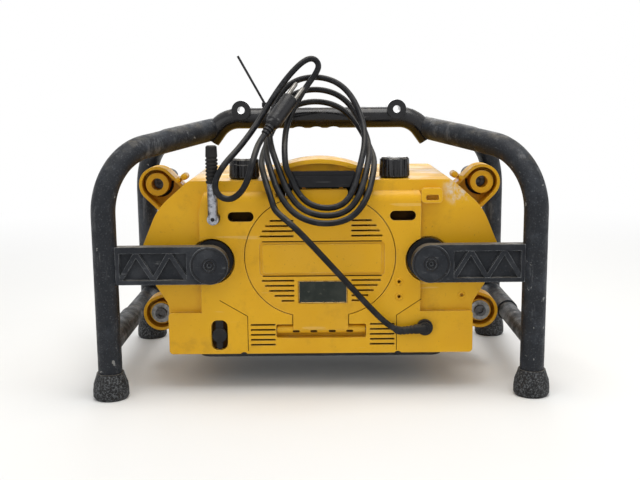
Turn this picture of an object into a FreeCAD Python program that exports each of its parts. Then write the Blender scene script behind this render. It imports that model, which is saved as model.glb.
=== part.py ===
"""Jobsite radio in a tubular roll cage: one solid per real piece, written to parts/NODE.step in millimetres.

Frame: +X to the right of someone facing the service side, +Y from the service side to the loudspeaker side,
+Z up. The origin lies on the floor, midway between the four feet.
"""

import FreeCAD
import Part

import math
import os

V = FreeCAD.Vector
X_AXIS = V(1, 0, 0)
Y_AXIS = V(0, 1, 0)
Z_AXIS = V(0, 0, 1)
SIDES = (-1, 1)

# Roll cage
LEG_X = 216.0
LEG_Y = 119.0
TUBE_R = 12.2
LEG_BOTTOM = 4.0
HOOP_CORNER_Z = 246.0
HOOP_END = (118.0, 0.0, 268.0)
HOOP_BEND_R = 66.0
MOULD_GAP = 0.15
HANDLE_R = 11.5
HANDLE_Z = 280.0
HANDLE_END_X = 121.0
HANDLE_END_Z = 257.0
HANDLE_CORNER_X = 104.0
HANDLE_BEND_R = 30.0
GRIP_WAVES = 3
GRIP_PITCH = 19.0
GRIP_MIDDLE_X = -3.0
GRIP_R = 14.0
GRIP_DEPTH = 1.8
EYELET_X = 85.0
EYELET_Z = 289.0
EYELET_R = 10.4
EYELET_HOLE_R = 4.0
EYELET_FRONT = -14.5
EYELET_BACK = 14.5
RAIL_Z = 57.0
SLEEVE_R = 12.0
SPIGOT_R = 10.4
RAIL_SPLIT_Y = 8.0
FOOT_PROFILE = ((12.35, 27.0), (13.8, 27.0), (14.6, 24.0), (17.4, 16.0), (18.2, 9.0), (18.2, 3.0), (16.4, 0.0))

# Arms that carry the radio on the service side
ARM_Z = 138.0
ARM_HALF_H = 19.2
ARM_FRONT = -125.0
ARM_BACK = -113.0
PIVOT_X = 111.0
WEB_DEPTH = 4.0
WEB_TOP = 12.6
WEB_BOTTOM = -14.6
WEB_X = (134.0, 201.0)
TRUSS_NODES = 5
TRUSS_WIDTH = 4.6
PIVOT_RING_R = 4.8
PIVOT_SCREW_R = 4.2
SHOCK_R = 21.5
BOSS_R = 13.0

# Housing
BODY_BOTTOM = 40.0
BODY_TOP = 220.0
BODY_CORNERS = ((157.5, 40.0, 4.0), (157.5, 92.0, 14.0), (188.0, 140.0, 26.0), (166.0, 192.0, 60.0), (134.0, 220.0, 9.0))
WING_FACE = -96.0
REAR_FACE = -102.0
SPLIT_Y = 4.0
FRONT_FACE = 98.0
WALL = 4.0
CAVITY_REAR = -86.0
BLOCK_LEFT = -123.0
BLOCK_RIGHT = 103.0
BLOCK_TOP = 211.0
BLOCK_SHOULDER_R = 13.0
BAND_TOP = 84.0
ARCH_HALF = 50.0
ARCH_TOP = 241.0
ARCH_SIDE = 229.5
ARCH_RIM = 4.5
ARCH_FRONT = -92.0
ARCH_BACK = -40.0
ARCH_FLOOR = -86.0
RECESS_R = 23.6
RECESS_FLOOR = -91.0

# Corner lugs
UPPER_LUG = (177.0, 210.0)
LOWER_LUG = (177.5, 66.5)
LUG_R = 19.5
LUG_WALL = 3.2
LUG_FRONT = -30.0
LUG_BACK = -6.0
LUG_WEB = 5.0
LUG_BOSS_R = 12.5
LUG_HOLE_R = 6.6
LUG_REACH = 34.0
SUNK_HEAD_Y = -10.2
PAD_R = 17.0
PAD_THICK = 9.0

# Battery door and its latch
DOOR_Z = 142.0
DOOR_R = 62.0
DOOR_SHIFT = 15.0
DOOR_GAP = 0.8
DOOR_BACK = -94.0
DOOR_SKIN = 3.0
TAB_HALF = 28.5
DOOR_TAB_TOP = 211.0
DOOR_TAB_BOTTOM = 64.0
HINGE_Y = -97.0
HINGE_Z = 65.0
KNUCKLE_R = 4.0
PIN_R = 1.6
PIN_END = 52.0
PIN_PLAY = 0.06
NAME_RECESS = (-62.0, 66.0, 122.0, 158.0)
LABEL_RECESS = (-23.0, 28.0, 93.0, 117.0)
RECESS_DEPTH = 1.4
VENT_H = 1.9
VENT_PITCH = 5.3
LATCH_X = (-31.0, 36.0)
LATCH_Z = (213.6, 230.0)
LATCH_FRONT = -105.0
LATCH_BACK = -97.8
LATCH_AXIS = (-100.6, 225.5)
LATCH_EAR_R = 2.6
LATCH_EAR_X = (-18.0, 20.0)
LATCH_EAR_WIDE = 4.0

# Battery bay
BAY_HALF = 52.0
BAY_Z = (94.0, 192.0)
BAY_BACK = -24.0
BAY_WALL = 2.5

# Controls on top
KNOB_X = 78.0
KNOB_Y = -72.0
KNOB_R = 15.8
KNOB_H = 21.0
KNOB_FLUTES = 18
KNOB_GAP = 0.6
SHAFT_R = 3.0
SPINDLE_LOW = 205.0

# Loudspeaker side
SPEAKER_X = 103.0
SPEAKER_Z = 134.0
SPEAKER_R = 50.0
GRILLE_RINGS = 5
GRILLE_SPOKES = 8
PANEL_HALF = 42.0
PANEL_Z = (58.0, 205.0)
BUTTONS = ((-24.0, 128.0), (24.0, 128.0), (-24.0, 110.0), (24.0, 110.0), (0.0, 88.0))
BUTTON_NAMES = ("button_band", "button_clock", "button_seek_down", "button_seek_up", "button_power")
BUTTON_R = 7.0

# Antenna
ANTENNA_X = -107.5
ANTENNA_Y = -109.0
ANTENNA_PIVOT_Z = 183.0
ANTENNA_TOP = 257.0

# Mains lead
CORD_D = 6.3
CORD_R = CORD_D / 2
GLAND = (107.5, 67.5)
LEAD_POINTS = (
    (97.0, -108.5, 66.4), (80.0, -108.5, 64.6), (66.0, -111.5, 74.5), (49.5, -117.0, 92.5), (28.5, -125.0, 117.5),
    (7.0, -134.5, 143.0), (-9.0, -141.5, 162.0), (-22.0, -142.5, 176.0), (-33.5, -136.5, 185.5),
)
COIL_TURNS = 3
COIL_NODES = (
    ((-47.5, -124.0, 203.0), (8.0, 3.0, 3.0), (-0.3, 0.36, 0.88)),
    ((-47.0, -27.5, 275.0), (1.5, -9.0, 14.0), (0.34, 0.4, 0.84)),
    ((41.0, -27.5, 275.0), (-2.5, -9.0, 14.0), (0.4, -0.4, -0.82)),
    ((47.0, -124.0, 203.0), (-7.0, 3.0, 3.0), (-0.25, -0.4, -0.88)),
)
TAIL_POINTS = (
    (-33.5, -109.5, 233.0), (-35.0, -101.0, 248.0), (-35.0, -87.0, 260.0), (-34.0, -73.0, 271.0), (-30.0, -63.0, 284.0),
    (-23.0, -57.0, 298.0), (-13.0, -51.0, 314.0), (-3.0, -47.5, 327.0), (1.0, -45.5, 336.0), (-4.5, -45.5, 343.5), (-14.5, -48.0, 341.5),
    (-29.0, -54.0, 328.0), (-45.0, -62.0, 307.0), (-61.0, -76.0, 280.0), (-79.0, -98.0, 255.0), (-96.0, -118.0, 237.0),
    (-104.5, -122.5, 220.0), (-100.5, -122.5, 207.5), (-89.0, -123.0, 203.5), (-78.0, -127.0, 210.5),
    (-70.5, -132.5, 223.0), (-66.5, -131.0, 236.5), (-63.5, -119.0, 249.0),
)
JOIN_RUN = 11.0
PLUG_START = V(-54.5, -97.0, 267.0)
PLUG_END = V(-29.0, -72.0, 302.0)
PLUG_R = 8.6
PIN_LENGTH = 19.0
PLUG_PIN_R = 2.3
PIN_SPACING = 8.6
TIE_X = -59.5
TIE_W = 4.8
TIE_THICK = 1.3
TIE_TAIL = V(-29.0, 3.0, 52.0)


def point(p):
    """A tuple of three numbers as a vector."""
    return V(*p)


def block(x, y, z):
    """A box from three (low, high) pairs."""
    return Part.makeBox(x[1] - x[0], y[1] - y[0], z[1] - z[0], V(x[0], y[0], z[0]))


def rod(start, end, radius):
    """A cylinder from one point to another."""
    way = end - start
    return Part.makeCylinder(radius, way.Length, start, way)


def along_y(x, z, radius, y0, y1):
    """A cylinder along Y between two depths."""
    return rod(V(x, y0, z), V(x, y1, z), radius)


def fused(shapes):
    """All the shapes as one, with coplanar faces joined."""
    first, rest = shapes[0], shapes[1:]
    return first.fuse(rest).removeSplitter() if rest else first


def cut(shape, tools):
    """A shape less all of the tools."""
    return shape.cut(tools) if tools else shape


def solids_of(shape):
    """The one solid of a result, or a compound of its solids."""
    found = shape.Solids
    return found[0] if len(found) == 1 else Part.makeCompound(found)


def filleted_wire(corners, plane_y):
    """A closed outline in the XZ plane at one depth: straight sides with each corner (x, z, radius) rounded."""
    n = len(corners)
    edges = []
    joints = []
    for k in range(n):
        before, here, after = (V(c[0], plane_y, c[1]) for c in (corners[k - 1], corners[k], corners[(k + 1) % n]))
        a = (before - here).normalize()
        b = (after - here).normalize()
        half = a.getAngle(b) / 2
        radius = corners[k][2]
        reach = radius / math.tan(half)
        middle = (a + b).normalize() * (radius / math.sin(half) - radius)
        joints.append((here + a * reach, here + middle, here + b * reach, radius))
    for k in range(n):
        start, middle, end, radius = joints[k]
        if radius > 0:
            edges.append(Part.Arc(start, middle, end).toShape())
        following = joints[(k + 1) % n][0]
        if (following - end).Length > 1e-6:
            edges.append(Part.LineSegment(end, following).toShape())
    return Part.Wire(edges)


def prism(corners, y0, y1):
    """A filleted outline in XZ, pushed from one depth to another."""
    return Part.Face(filleted_wire(corners, y0)).extrude(V(0, y1 - y0, 0))


def rounded_box(x, z, radius, y0, y1):
    """A rectangle in XZ with equal corner radii, pushed along Y."""
    corners = [(x[0], z[0], radius), (x[1], z[0], radius), (x[1], z[1], radius), (x[0], z[1], radius)]
    return prism(corners, y0, y1)


def mirrored(corners):
    """The right half of an outline completed with its mirror image in X."""
    return list(corners) + [(-x, z, r) for x, z, r in reversed(corners)]


def revolved(profile, centre, axis=Z_AXIS):
    """A profile of (radius, height) points turned once round an axis through a centre."""
    side = X_AXIS if abs(axis.dot(X_AXIS)) < 0.9 else Y_AXIS
    side = (side - axis * side.dot(axis)).normalize()
    points = [centre + side * r + axis * h for r, h in profile]
    face = Part.Face(Part.makePolygon(points + [points[0]]))
    return face.revolve(centre, axis, 360)


def route_edges(points):
    """Straight runs joined by tangent arcs, and the arcs' radii: each is 0.45 of its shorter run over tan(half turn)."""
    edges = []
    radii = []
    last = points[0]
    for before, here, after in zip(points, points[1:], points[2:]):
        a = (before - here).normalize()
        b = (after - here).normalize()
        reach = 0.45 * min((before - here).Length, (after - here).Length)
        half = a.getAngle(b) / 2
        radius = reach * math.tan(half)
        start = here + a * reach
        end = here + b * reach
        middle = here + (a + b).normalize() * (radius / math.sin(half) - radius)
        edges.append(Part.LineSegment(last, start).toShape())
        edges.append(Part.Arc(start, middle, end).toShape())
        radii.append(radius)
        last = end
    edges.append(Part.LineSegment(last, points[-1]).toShape())
    return edges, radii


def swept(edges, start, way, radius):
    """A round tube along joined tangent edges."""
    section = Part.Wire([Part.makeCircle(radius, start, way)])
    return Part.Wire(edges).makePipeShell([section], True, False)


def bent_tube(points, bend_r, radius):
    """A tube along straight runs whose corners are bent to one radius."""
    edges = []
    last = points[0]
    for before, here, after in zip(points, points[1:], points[2:]):
        a = (before - here).normalize()
        b = (after - here).normalize()
        half = a.getAngle(b) / 2
        reach = bend_r / math.tan(half)
        middle = here + (a + b).normalize() * (bend_r / math.sin(half) - bend_r)
        edges.append(Part.LineSegment(last, here + a * reach).toShape())
        edges.append(Part.Arc(here + a * reach, middle, here + b * reach).toShape())
        last = here + b * reach
    edges.append(Part.LineSegment(last, points[-1]).toShape())
    return swept(edges, points[0], points[1] - points[0], radius)


def leg(sx, sy, radius=TUBE_R):
    """One upright tube of the cage, without its hoop."""
    return rod(V(sx * LEG_X, sy * LEG_Y, LEG_BOTTOM), V(sx * LEG_X, sy * LEG_Y, HOOP_CORNER_Z), radius)


def handle_tube(radius):
    """The carry handle's own tube: level, with its two ends bent down."""
    points = [
        V(-HANDLE_END_X, 0, HANDLE_END_Z), V(-HANDLE_CORNER_X, 0, HANDLE_Z),
        V(HANDLE_CORNER_X, 0, HANDLE_Z), V(HANDLE_END_X, 0, HANDLE_END_Z),
    ]
    return bent_tube(points, HANDLE_BEND_R, radius)


def roll_bar(sx, sy):
    """A leg and its hoop in one bend, mitred at the middle plane and coped to the handle."""
    end = V(sx * HOOP_END[0], HOOP_END[1], HOOP_END[2])
    points = [V(sx * LEG_X, sy * LEG_Y, LEG_BOTTOM), V(sx * LEG_X, sy * LEG_Y, HOOP_CORNER_Z), end]
    tube = bent_tube(points, HOOP_BEND_R, TUBE_R)
    beyond = sorted((-sy * 60.0, sy * MOULD_GAP))
    half_space = block((sx * HOOP_END[0] - 60, sx * HOOP_END[0] + 60), beyond, (200, 320))
    return solids_of(cut(tube, [half_space, handle_tube(HANDLE_R + MOULD_GAP)]))


def carry_handle():
    """The handle with two lifting eyes and finger waves under its grip."""
    tube = handle_tube(HANDLE_R)
    eyes = [along_y(sx * EYELET_X, EYELET_Z, EYELET_R, EYELET_FRONT, EYELET_BACK) for sx in SIDES]
    holes = [along_y(sx * EYELET_X, EYELET_Z, EYELET_HOLE_R, EYELET_FRONT - 1, EYELET_BACK + 1) for sx in SIDES]
    low = HANDLE_Z - HANDLE_R - GRIP_R + GRIP_DEPTH
    start = GRIP_MIDDLE_X - GRIP_PITCH * (GRIP_WAVES - 1) / 2
    waves = [along_y(start + k * GRIP_PITCH, low, GRIP_R, -20, 20) for k in range(GRIP_WAVES)]
    return solids_of(cut(fused([tube] + eyes), holes + waves))


def foot(sx, sy):
    """A bell-shaped rubber boot with a socket for the leg."""
    profile = [(0.0, LEG_BOTTOM), (12.35, LEG_BOTTOM)] + list(FOOT_PROFILE) + [(0.0, 0.0)]
    return revolved(profile, V(sx * LEG_X, sy * LEG_Y, 0))


def lower_rails(sx):
    """The sleeve and the thinner spigot that close a side of the cage, coped to their legs."""
    sleeve_side = sx
    split = RAIL_SPLIT_Y * sx
    legs = [leg(sx, sy, TUBE_R + MOULD_GAP) for sy in SIDES]
    ends = {s: s * LEG_Y for s in SIDES}
    sleeve = along_y(sx * LEG_X, RAIL_Z, SLEEVE_R, min(ends[sleeve_side], split), max(ends[sleeve_side], split))
    spigot = along_y(sx * LEG_X, RAIL_Z, SPIGOT_R, min(ends[-sleeve_side], split), max(ends[-sleeve_side], split))
    return cut(sleeve, legs), cut(spigot, legs)


def truss_rib(a, b, y0, y1):
    """One straight rib of the arm's zigzag between two (x, z) nodes."""
    way = V(b[0] - a[0], 0, b[1] - a[1]).normalize()
    side = V(-way.z, 0, way.x) * (TRUSS_WIDTH / 2)
    start, end = V(a[0], y0, a[1]), V(b[0], y0, b[1])
    outline = [start + side, end + side, end - side, start - side, start + side]
    return Part.Face(Part.makePolygon(outline)).extrude(V(0, y1 - y0, 0))


def cage_arm(sx):
    """The arm from a near leg to the radio's pivot: two rails, a sunk web with zigzag ribs, and a round end."""
    long_way = sorted((sx * LEG_X, sx * PIVOT_X))
    bar = block(long_way, (ARM_FRONT, ARM_BACK), (ARM_Z - ARM_HALF_H, ARM_Z + ARM_HALF_H))
    end = along_y(sx * PIVOT_X, ARM_Z, ARM_HALF_H, ARM_FRONT - 1.5, ARM_BACK)
    pocket_x = sorted((sx * WEB_X[0], sx * WEB_X[1]))
    pocket = block(pocket_x, (ARM_FRONT - 1, ARM_FRONT + WEB_DEPTH), (ARM_Z + WEB_BOTTOM, ARM_Z + WEB_TOP))
    step = (WEB_X[1] - WEB_X[0]) / (TRUSS_NODES - 1)
    heights = (ARM_Z + WEB_BOTTOM, ARM_Z + WEB_TOP)
    nodes = [(sx * (WEB_X[1] - k * step), heights[k % 2]) for k in range(TRUSS_NODES)]
    keep = block(pocket_x, (ARM_FRONT + 0.6, ARM_FRONT + WEB_DEPTH + 1), heights)
    ribs = [truss_rib(a, b, ARM_FRONT + 0.6, ARM_FRONT + WEB_DEPTH + 1).common(keep) for a, b in zip(nodes, nodes[1:])]
    body = fused([cut(fused([bar, end]), [pocket])] + ribs)
    ring = along_y(sx * PIVOT_X, ARM_Z, PIVOT_RING_R, ARM_FRONT - 3, ARM_FRONT + 1.5)
    shank = along_y(sx * PIVOT_X, ARM_Z, 2.6, ARM_FRONT - 3, ARM_BACK + 1)
    return solids_of(cut(body, [leg(sx, -1, TUBE_R + MOULD_GAP), ring, shank]))


def pivot_screw(sx):
    """The screw at the middle of an arm's round end, with a driver socket."""
    head = along_y(sx * PIVOT_X, ARM_Z, PIVOT_SCREW_R, ARM_FRONT - 0.6, ARM_FRONT + 1.5)
    shank = along_y(sx * PIVOT_X, ARM_Z, 2.5, ARM_FRONT + 1.5, ARM_BACK)
    socket = along_y(sx * PIVOT_X, ARM_Z, 1.8, ARM_FRONT - 1, ARM_FRONT + 1)
    return cut(fused([head, shank]), [socket])


def body_outline(inset=0.0):
    """The radio's outline seen from its service side."""
    wire = filleted_wire(mirrored(BODY_CORNERS), 0)
    return wire.makeOffset2D(-inset) if inset else wire


def body_slab(y0, y1, inset=0.0):
    """The radio's outline pushed between two depths."""
    slab = Part.Face(body_outline(inset)).extrude(V(0, y1 - y0, 0))
    slab.translate(V(0, y0, 0))
    return slab


def door_outline(gap, y0, y1):
    """The battery door: an oval with a tab above for the latch and one below for the hinge."""
    r = DOOR_R + gap
    oval = rounded_box((-DOOR_SHIFT - r, DOOR_SHIFT + r), (DOOR_Z - r, DOOR_Z + r), r - 0.01, y0, y1)
    tab = TAB_HALF + gap
    tabs = rounded_box((-tab, tab), (DOOR_TAB_BOTTOM - gap, DOOR_TAB_TOP + gap), 2.0, y0, y1)
    return fused([oval, tabs])


def lug(sx, place, way_z):
    """A corner lug: an open teardrop loop with a round boss, a bolt hole and a curved slot beside the boss."""
    x, z = sx * place[0], place[1]
    way = V(-sx, 0, way_z).normalize()
    side = V(-way.z, 0, way.x)

    def stadium(radius, y0, y1):
        centre = V(x, y0, z)
        far = centre + way * LUG_REACH
        flat = [centre + side * radius, far + side * radius, far - side * radius, centre - side * radius]
        plate = Part.Face(Part.makePolygon(flat + [flat[0]])).extrude(V(0, y1 - y0, 0))
        return fused([plate, along_y(x, z, radius, y0, y1)])

    outer = stadium(LUG_R, LUG_FRONT, LUG_BACK)
    pocket = stadium(LUG_R - LUG_WALL, LUG_FRONT - 1, LUG_BACK - LUG_WEB)
    boss = along_y(x, z, LUG_BOSS_R, LUG_FRONT + 3, LUG_BACK - LUG_WEB + 1)
    hole = along_y(x, z, LUG_HOLE_R, LUG_FRONT - 2, LUG_BACK + 1)
    ring = cut(along_y(x, z, LUG_BOSS_R + 3.2, LUG_BACK - LUG_WEB - 1, LUG_BACK + 1),
               [along_y(x, z, LUG_BOSS_R, LUG_BACK - LUG_WEB - 1, LUG_BACK + 1)])
    near = V(x, 0, z) + way * (LUG_BOSS_R + 4)
    window = block((near.x - 14, near.x + 14), (LUG_BACK - LUG_WEB - 1, LUG_BACK + 1), (near.z - 14, near.z + 14))
    return cut(fused([cut(outer, [pocket]), boss]), [hole, ring.common(window)])


def lower_vents():
    """Five shallow louvres each side of the hinge recess."""
    grooves = []
    for x in ((-72.5, -47.0), (51.0, 76.5)):
        for k in range(5):
            z = 48.5 + k * VENT_PITCH
            grooves.append(block(x, (REAR_FACE - 1, REAR_FACE + 3.5), (z, z + VENT_H)))
    return grooves


def strap_slots():
    """Two blind grip slots in the shoulder of the rear block."""
    return [rounded_box((x - 13.2, x + 13.2), (178.8, 188.8), 4.9, REAR_FACE - 1, REAR_FACE + 11) for x in (-80.5, 84.5)]


def rear_block():
    """The raised middle of the service side with its round shoulder, and the band along the bottom."""
    band = rounded_box((-157.5, 157.5), (BODY_BOTTOM, BAND_TOP), 4.0, REAR_FACE, WING_FACE + 1)
    corners = [(BLOCK_LEFT, BAND_TOP - 8, 1.0), (BLOCK_RIGHT, BAND_TOP - 8, 1.0), (BLOCK_RIGHT, BLOCK_TOP, 7.0),
               (BLOCK_LEFT + 6, BLOCK_TOP, 7.0), (BLOCK_LEFT, BLOCK_TOP - 22, 5.0)]
    middle = prism(corners, REAR_FACE, WING_FACE + 1)
    r = BLOCK_SHOULDER_R
    square = block((-140, 140), (REAR_FACE - 1, REAR_FACE + r), (BLOCK_TOP - r, BLOCK_TOP + 1))
    round_part = rod(V(-141, REAR_FACE + r, BLOCK_TOP - r), V(141, REAR_FACE + r, BLOCK_TOP - r), r)
    return cut(fused([band, middle]), [square.cut(round_part)])


def hook_loop():
    """A small moulded loop beside the shoulder, open sideways for a cord."""
    base = rounded_box((103.0, 124.5), (196.5, 211.5), 4.0, REAR_FACE - 1.5, WING_FACE + 1)
    slot = rounded_box((108.0, 120.5), (199.5, 204.8), 1.2, REAR_FACE - 2.5, WING_FACE + 0.5)
    return cut(base, [slot])


def arch():
    """The low arched hood over the latch, with the latch's recess in its front."""
    outer = arch_slab(ARCH_HALF, ARCH_TOP, ARCH_SIDE, BODY_TOP - 8, (ARCH_FRONT, ARCH_BACK))
    inner = arch_slab(ARCH_HALF - ARCH_RIM, ARCH_TOP - ARCH_RIM, ARCH_SIDE - ARCH_RIM + 1, BODY_TOP - 6,
                      (ARCH_FRONT - 1, ARCH_FLOOR))
    return outer, inner


def arch_slab(half, top, side, base, depths):
    """An arc over two upright sides, pushed along Y."""
    y0, y1 = depths
    left, crown, right = V(-half, y0, side), V(0, y0, top), V(half, y0, side)
    edges = [
        Part.Arc(left, crown, right).toShape(),
        Part.LineSegment(right, V(half, y0, base)).toShape(),
        Part.LineSegment(V(half, y0, base), V(-half, y0, base)).toShape(),
        Part.LineSegment(V(-half, y0, base), left).toShape(),
    ]
    return Part.Face(Part.Wire(edges)).extrude(V(0, y1 - y0, 0))


def rear_housing():
    """The yellow service half: wings, raised block, arch, lugs, and every recess and slot moulded in it."""
    shell = cut(body_slab(WING_FACE, SPLIT_Y), [body_slab(CAVITY_REAR, SPLIT_Y + 1, WALL)])
    lugs = [lug(sx, UPPER_LUG, -1.0) for sx in SIDES] + [lug(sx, LOWER_LUG, 0.35) for sx in SIDES]
    outside = [cut(piece, [body_slab(CAVITY_REAR, SPLIT_Y + 1, WALL)]) for piece in lugs]
    hood, hood_recess = arch()
    hood = cut(hood, [body_slab(CAVITY_REAR, SPLIT_Y + 1, WALL)])
    body = fused([shell, rear_block(), hook_loop(), hood] + outside)
    latch_room = block((-45, 47), (REAR_FACE - 4, ARCH_FLOOR), (203, 231.5))
    door_room = door_outline(DOOR_GAP, REAR_FACE - 1, DOOR_BACK + 1.0)
    mouth = rounded_box((-BAY_HALF, BAY_HALF), BAY_Z, 4, DOOR_BACK - 1, CAVITY_REAR + 1)
    hinge_room = rounded_box((-46, 47), (56.5, 71), 2.0, REAR_FACE - 1, HINGE_Y + KNUCKLE_R + 0.8)
    pivots = [along_y(sx * PIVOT_X, ARM_Z, RECESS_R, REAR_FACE - 2, RECESS_FLOOR) for sx in SIDES]
    bosses = [along_y(x, z, 1.6, REAR_FACE - 1, REAR_FACE + 9) for x in (81.0, 146.5) for z in (99.5, 115.0)]
    gland_hole = along_y(GLAND[0], GLAND[1], 6.0, REAR_FACE - 1, CAVITY_REAR + 1)
    aux_room = rounded_box((-113.5, -96.5), (44.5, 76.0), 6.5, REAR_FACE - 1, REAR_FACE + 4)
    aux_hole = along_y(-105, 60, 4.0, REAR_FACE - 1, CAVITY_REAR + 1)
    shafts = [rod(V(sx * KNOB_X, KNOB_Y, 200), V(sx * KNOB_X, KNOB_Y, 230), SHAFT_R + 0.5) for sx in SIDES]
    antenna_room = along_y(ANTENNA_X, ANTENNA_PIVOT_Z, 2.6, REAR_FACE - 1, REAR_FACE + 8)
    pin_holes = [rod(V(-PIN_END, HINGE_Y, HINGE_Z), V(PIN_END, HINGE_Y, HINGE_Z), PIN_R)]
    notches = [rod(V(x, -110, BODY_BOTTOM - 2.2), V(x, 10, BODY_BOTTOM - 2.2), 4.0) for x in (-80.0, 80.0)]
    tools = [hood_recess, latch_room, door_room, mouth, hinge_room, gland_hole, aux_room, aux_hole, antenna_room]
    return solids_of(cut(body, tools + pin_holes + pivots + bosses + shafts + notches + strap_slots() + lower_vents()))


def front_housing():
    """The yellow loudspeaker half, open where the grilles and the control panel sit."""
    shell = cut(body_slab(SPLIT_Y + 0.2, FRONT_FACE), [body_slab(SPLIT_Y - 1, FRONT_FACE - WALL, WALL)])
    rounds = [along_y(sx * SPEAKER_X, SPEAKER_Z, SPEAKER_R + 3.2, FRONT_FACE - 3, FRONT_FACE + 1) for sx in SIDES]
    mouths = [along_y(sx * SPEAKER_X, SPEAKER_Z, SPEAKER_R - 3, FRONT_FACE - 9, FRONT_FACE + 1) for sx in SIDES]
    panel = rounded_box((-PANEL_HALF, PANEL_HALF), PANEL_Z, 8, FRONT_FACE - 9, FRONT_FACE + 1)
    return solids_of(cut(shell, rounds + mouths + [panel]))


def base_tray():
    """The dark tray under the radio, seen as a strip below its bottom edge."""
    return rounded_tray((-128, 128), (-90, 90), (33.5, BODY_BOTTOM - 0.2), 14)


def rounded_tray(x, y, z, radius):
    """A flat tray with rounded corners in plan."""
    plate = block(x, y, z)
    upright = [e for e in plate.Edges if abs(e.tangentAt(e.FirstParameter).z) > 0.99]
    return plate.makeFillet(radius, upright)


def battery_door():
    """The door: a thin skin with a rim, sunk name and label places, louvres, a knuckle and two latch ears."""
    solid = door_outline(0, REAR_FACE, DOOR_BACK)
    inner_r = DOOR_R - 5
    hollow = rounded_box((-DOOR_SHIFT - inner_r, DOOR_SHIFT + inner_r), (DOOR_Z - inner_r, DOOR_Z + inner_r),
                         inner_r - 0.01, REAR_FACE + DOOR_SKIN + RECESS_DEPTH, DOOR_BACK + 1)
    name = rounded_box(NAME_RECESS[:2], NAME_RECESS[2:], 5, REAR_FACE - 1, REAR_FACE + RECESS_DEPTH)
    label = rounded_box(LABEL_RECESS[:2], LABEL_RECESS[2:], 1.0, REAR_FACE - 1, REAR_FACE + RECESS_DEPTH)
    square = block((-TAB_HALF - 1, TAB_HALF + 1), (REAR_FACE - 1, DOOR_BACK + 1), (DOOR_TAB_BOTTOM - 1, HINGE_Z))
    knuckle = rod(V(-TAB_HALF + 2, HINGE_Y, HINGE_Z), V(TAB_HALF - 2, HINGE_Y, HINGE_Z), KNUCKLE_R)
    bore = rod(V(-40, HINGE_Y, HINGE_Z), V(40, HINGE_Y, HINGE_Z), PIN_R + PIN_PLAY)
    ears = [latch_ear(x) for x in LATCH_EAR_X]
    ear_bore = rod(V(-24, LATCH_AXIS[0], LATCH_AXIS[1]), V(30, LATCH_AXIS[0], LATCH_AXIS[1]), 1.5 + PIN_PLAY)
    body = fused([cut(solid, [hollow, name, label, square]), knuckle] + ears)
    return solids_of(cut(body, [bore, ear_bore] + door_vents()))


def latch_ear(x):
    """An ear that stands up behind the door's top and reaches forward to carry the latch's pin."""
    y, z = LATCH_AXIS
    wide = (x, x + LATCH_EAR_WIDE)
    post = block(wide, (DOOR_BACK - 1, -89.5), (204.0, z + LATCH_EAR_R))
    arm = block(wide, (y, -90.0), (z - LATCH_EAR_R, z + LATCH_EAR_R))
    return fused([post, arm, rod(V(wide[0], y, z), V(wide[1], y, z), LATCH_EAR_R)])


def door_vents():
    """The door's louvres: upper and lower groups whose outer ends follow the oval."""
    slots = []
    limit = DOOR_R - 8
    rows = [162.5 + k * VENT_PITCH for k in range(4)] + [95.0 + k * VENT_PITCH for k in range(5)]
    for z in rows:
        reach = DOOR_SHIFT - 3 + math.sqrt(limit ** 2 - (z + VENT_H / 2 - DOOR_Z) ** 2)
        for x in ((-reach, -27.0), (32.0, reach + 2)):
            slots.append(block(x, (REAR_FACE - 1, DOOR_BACK - 2), (z, z + VENT_H)))
    return slots


def door_pins():
    """Two short steel pins that the door turns on."""
    return [rod(V(s * 18, HINGE_Y, HINGE_Z), V(s * PIN_END, HINGE_Y, HINGE_Z), PIN_R) for s in SIDES]


def door_latch():
    """The black paddle over the door's upper tab, hung on a pin through it and notched for the door's two ears."""
    y, z = LATCH_AXIS
    bar = rounded_box(LATCH_X, LATCH_Z, 2.0, LATCH_FRONT, LATCH_BACK)
    groove = block((LATCH_X[0] - 1, LATCH_X[1] + 1), (LATCH_FRONT - 1, LATCH_FRONT + 1.0), (225.0, 226.2))
    notches = [block((x - 0.3, x + LATCH_EAR_WIDE + 0.3), (y - LATCH_EAR_R - 0.4, LATCH_BACK + 1), (z - 6.5, LATCH_Z[1] + 1))
               for x in LATCH_EAR_X]
    bore = rod(V(-19, y, z), V(25, y, z), 1.5 + PIN_PLAY)
    return cut(bar, [groove, bore] + notches)


def latch_pin():
    """The latch's steel pin, held in the door's ears."""
    return rod(V(-18, LATCH_AXIS[0], LATCH_AXIS[1]), V(24, LATCH_AXIS[0], LATCH_AXIS[1]), 1.5)


def plate_in(recess, thickness, margin, radius):
    """A thin bare plate lying in a sunk place of the door."""
    x = (recess[0] + margin, recess[1] - margin)
    z = (recess[2] + margin, recess[3] - margin)
    return rounded_box(x, z, radius, REAR_FACE + RECESS_DEPTH - thickness, REAR_FACE + RECESS_DEPTH)


def battery_bay():
    """The black tub behind the door that a slide battery goes into, with its guide rails."""
    x = BAY_HALF + BAY_WALL
    outer = block((-x, x), (CAVITY_REAR + 0.2, BAY_BACK), (BAY_Z[0] - BAY_WALL, BAY_Z[1] + BAY_WALL))
    inner = block((-BAY_HALF, BAY_HALF), (CAVITY_REAR - 1, BAY_BACK - BAY_WALL), BAY_Z)
    rails = [block(sorted((s * 30.0, s * 34.0)), (-60, BAY_BACK - BAY_WALL), (BAY_Z[0], BAY_Z[0] + 6)) for s in SIDES]
    return fused([cut(outer, [inner])] + rails)


def contact_block():
    """The battery's terminal block on the back wall of the bay."""
    back = BAY_BACK - BAY_WALL
    slots = [block((x - 0.45, x + 0.45), (back - 9, back - 3), (122, 134)) for x in (-12.0, 0.0, 12.0)]
    return cut(block((-20, 20), (back - 8, back), (112, 144)), slots)


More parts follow.
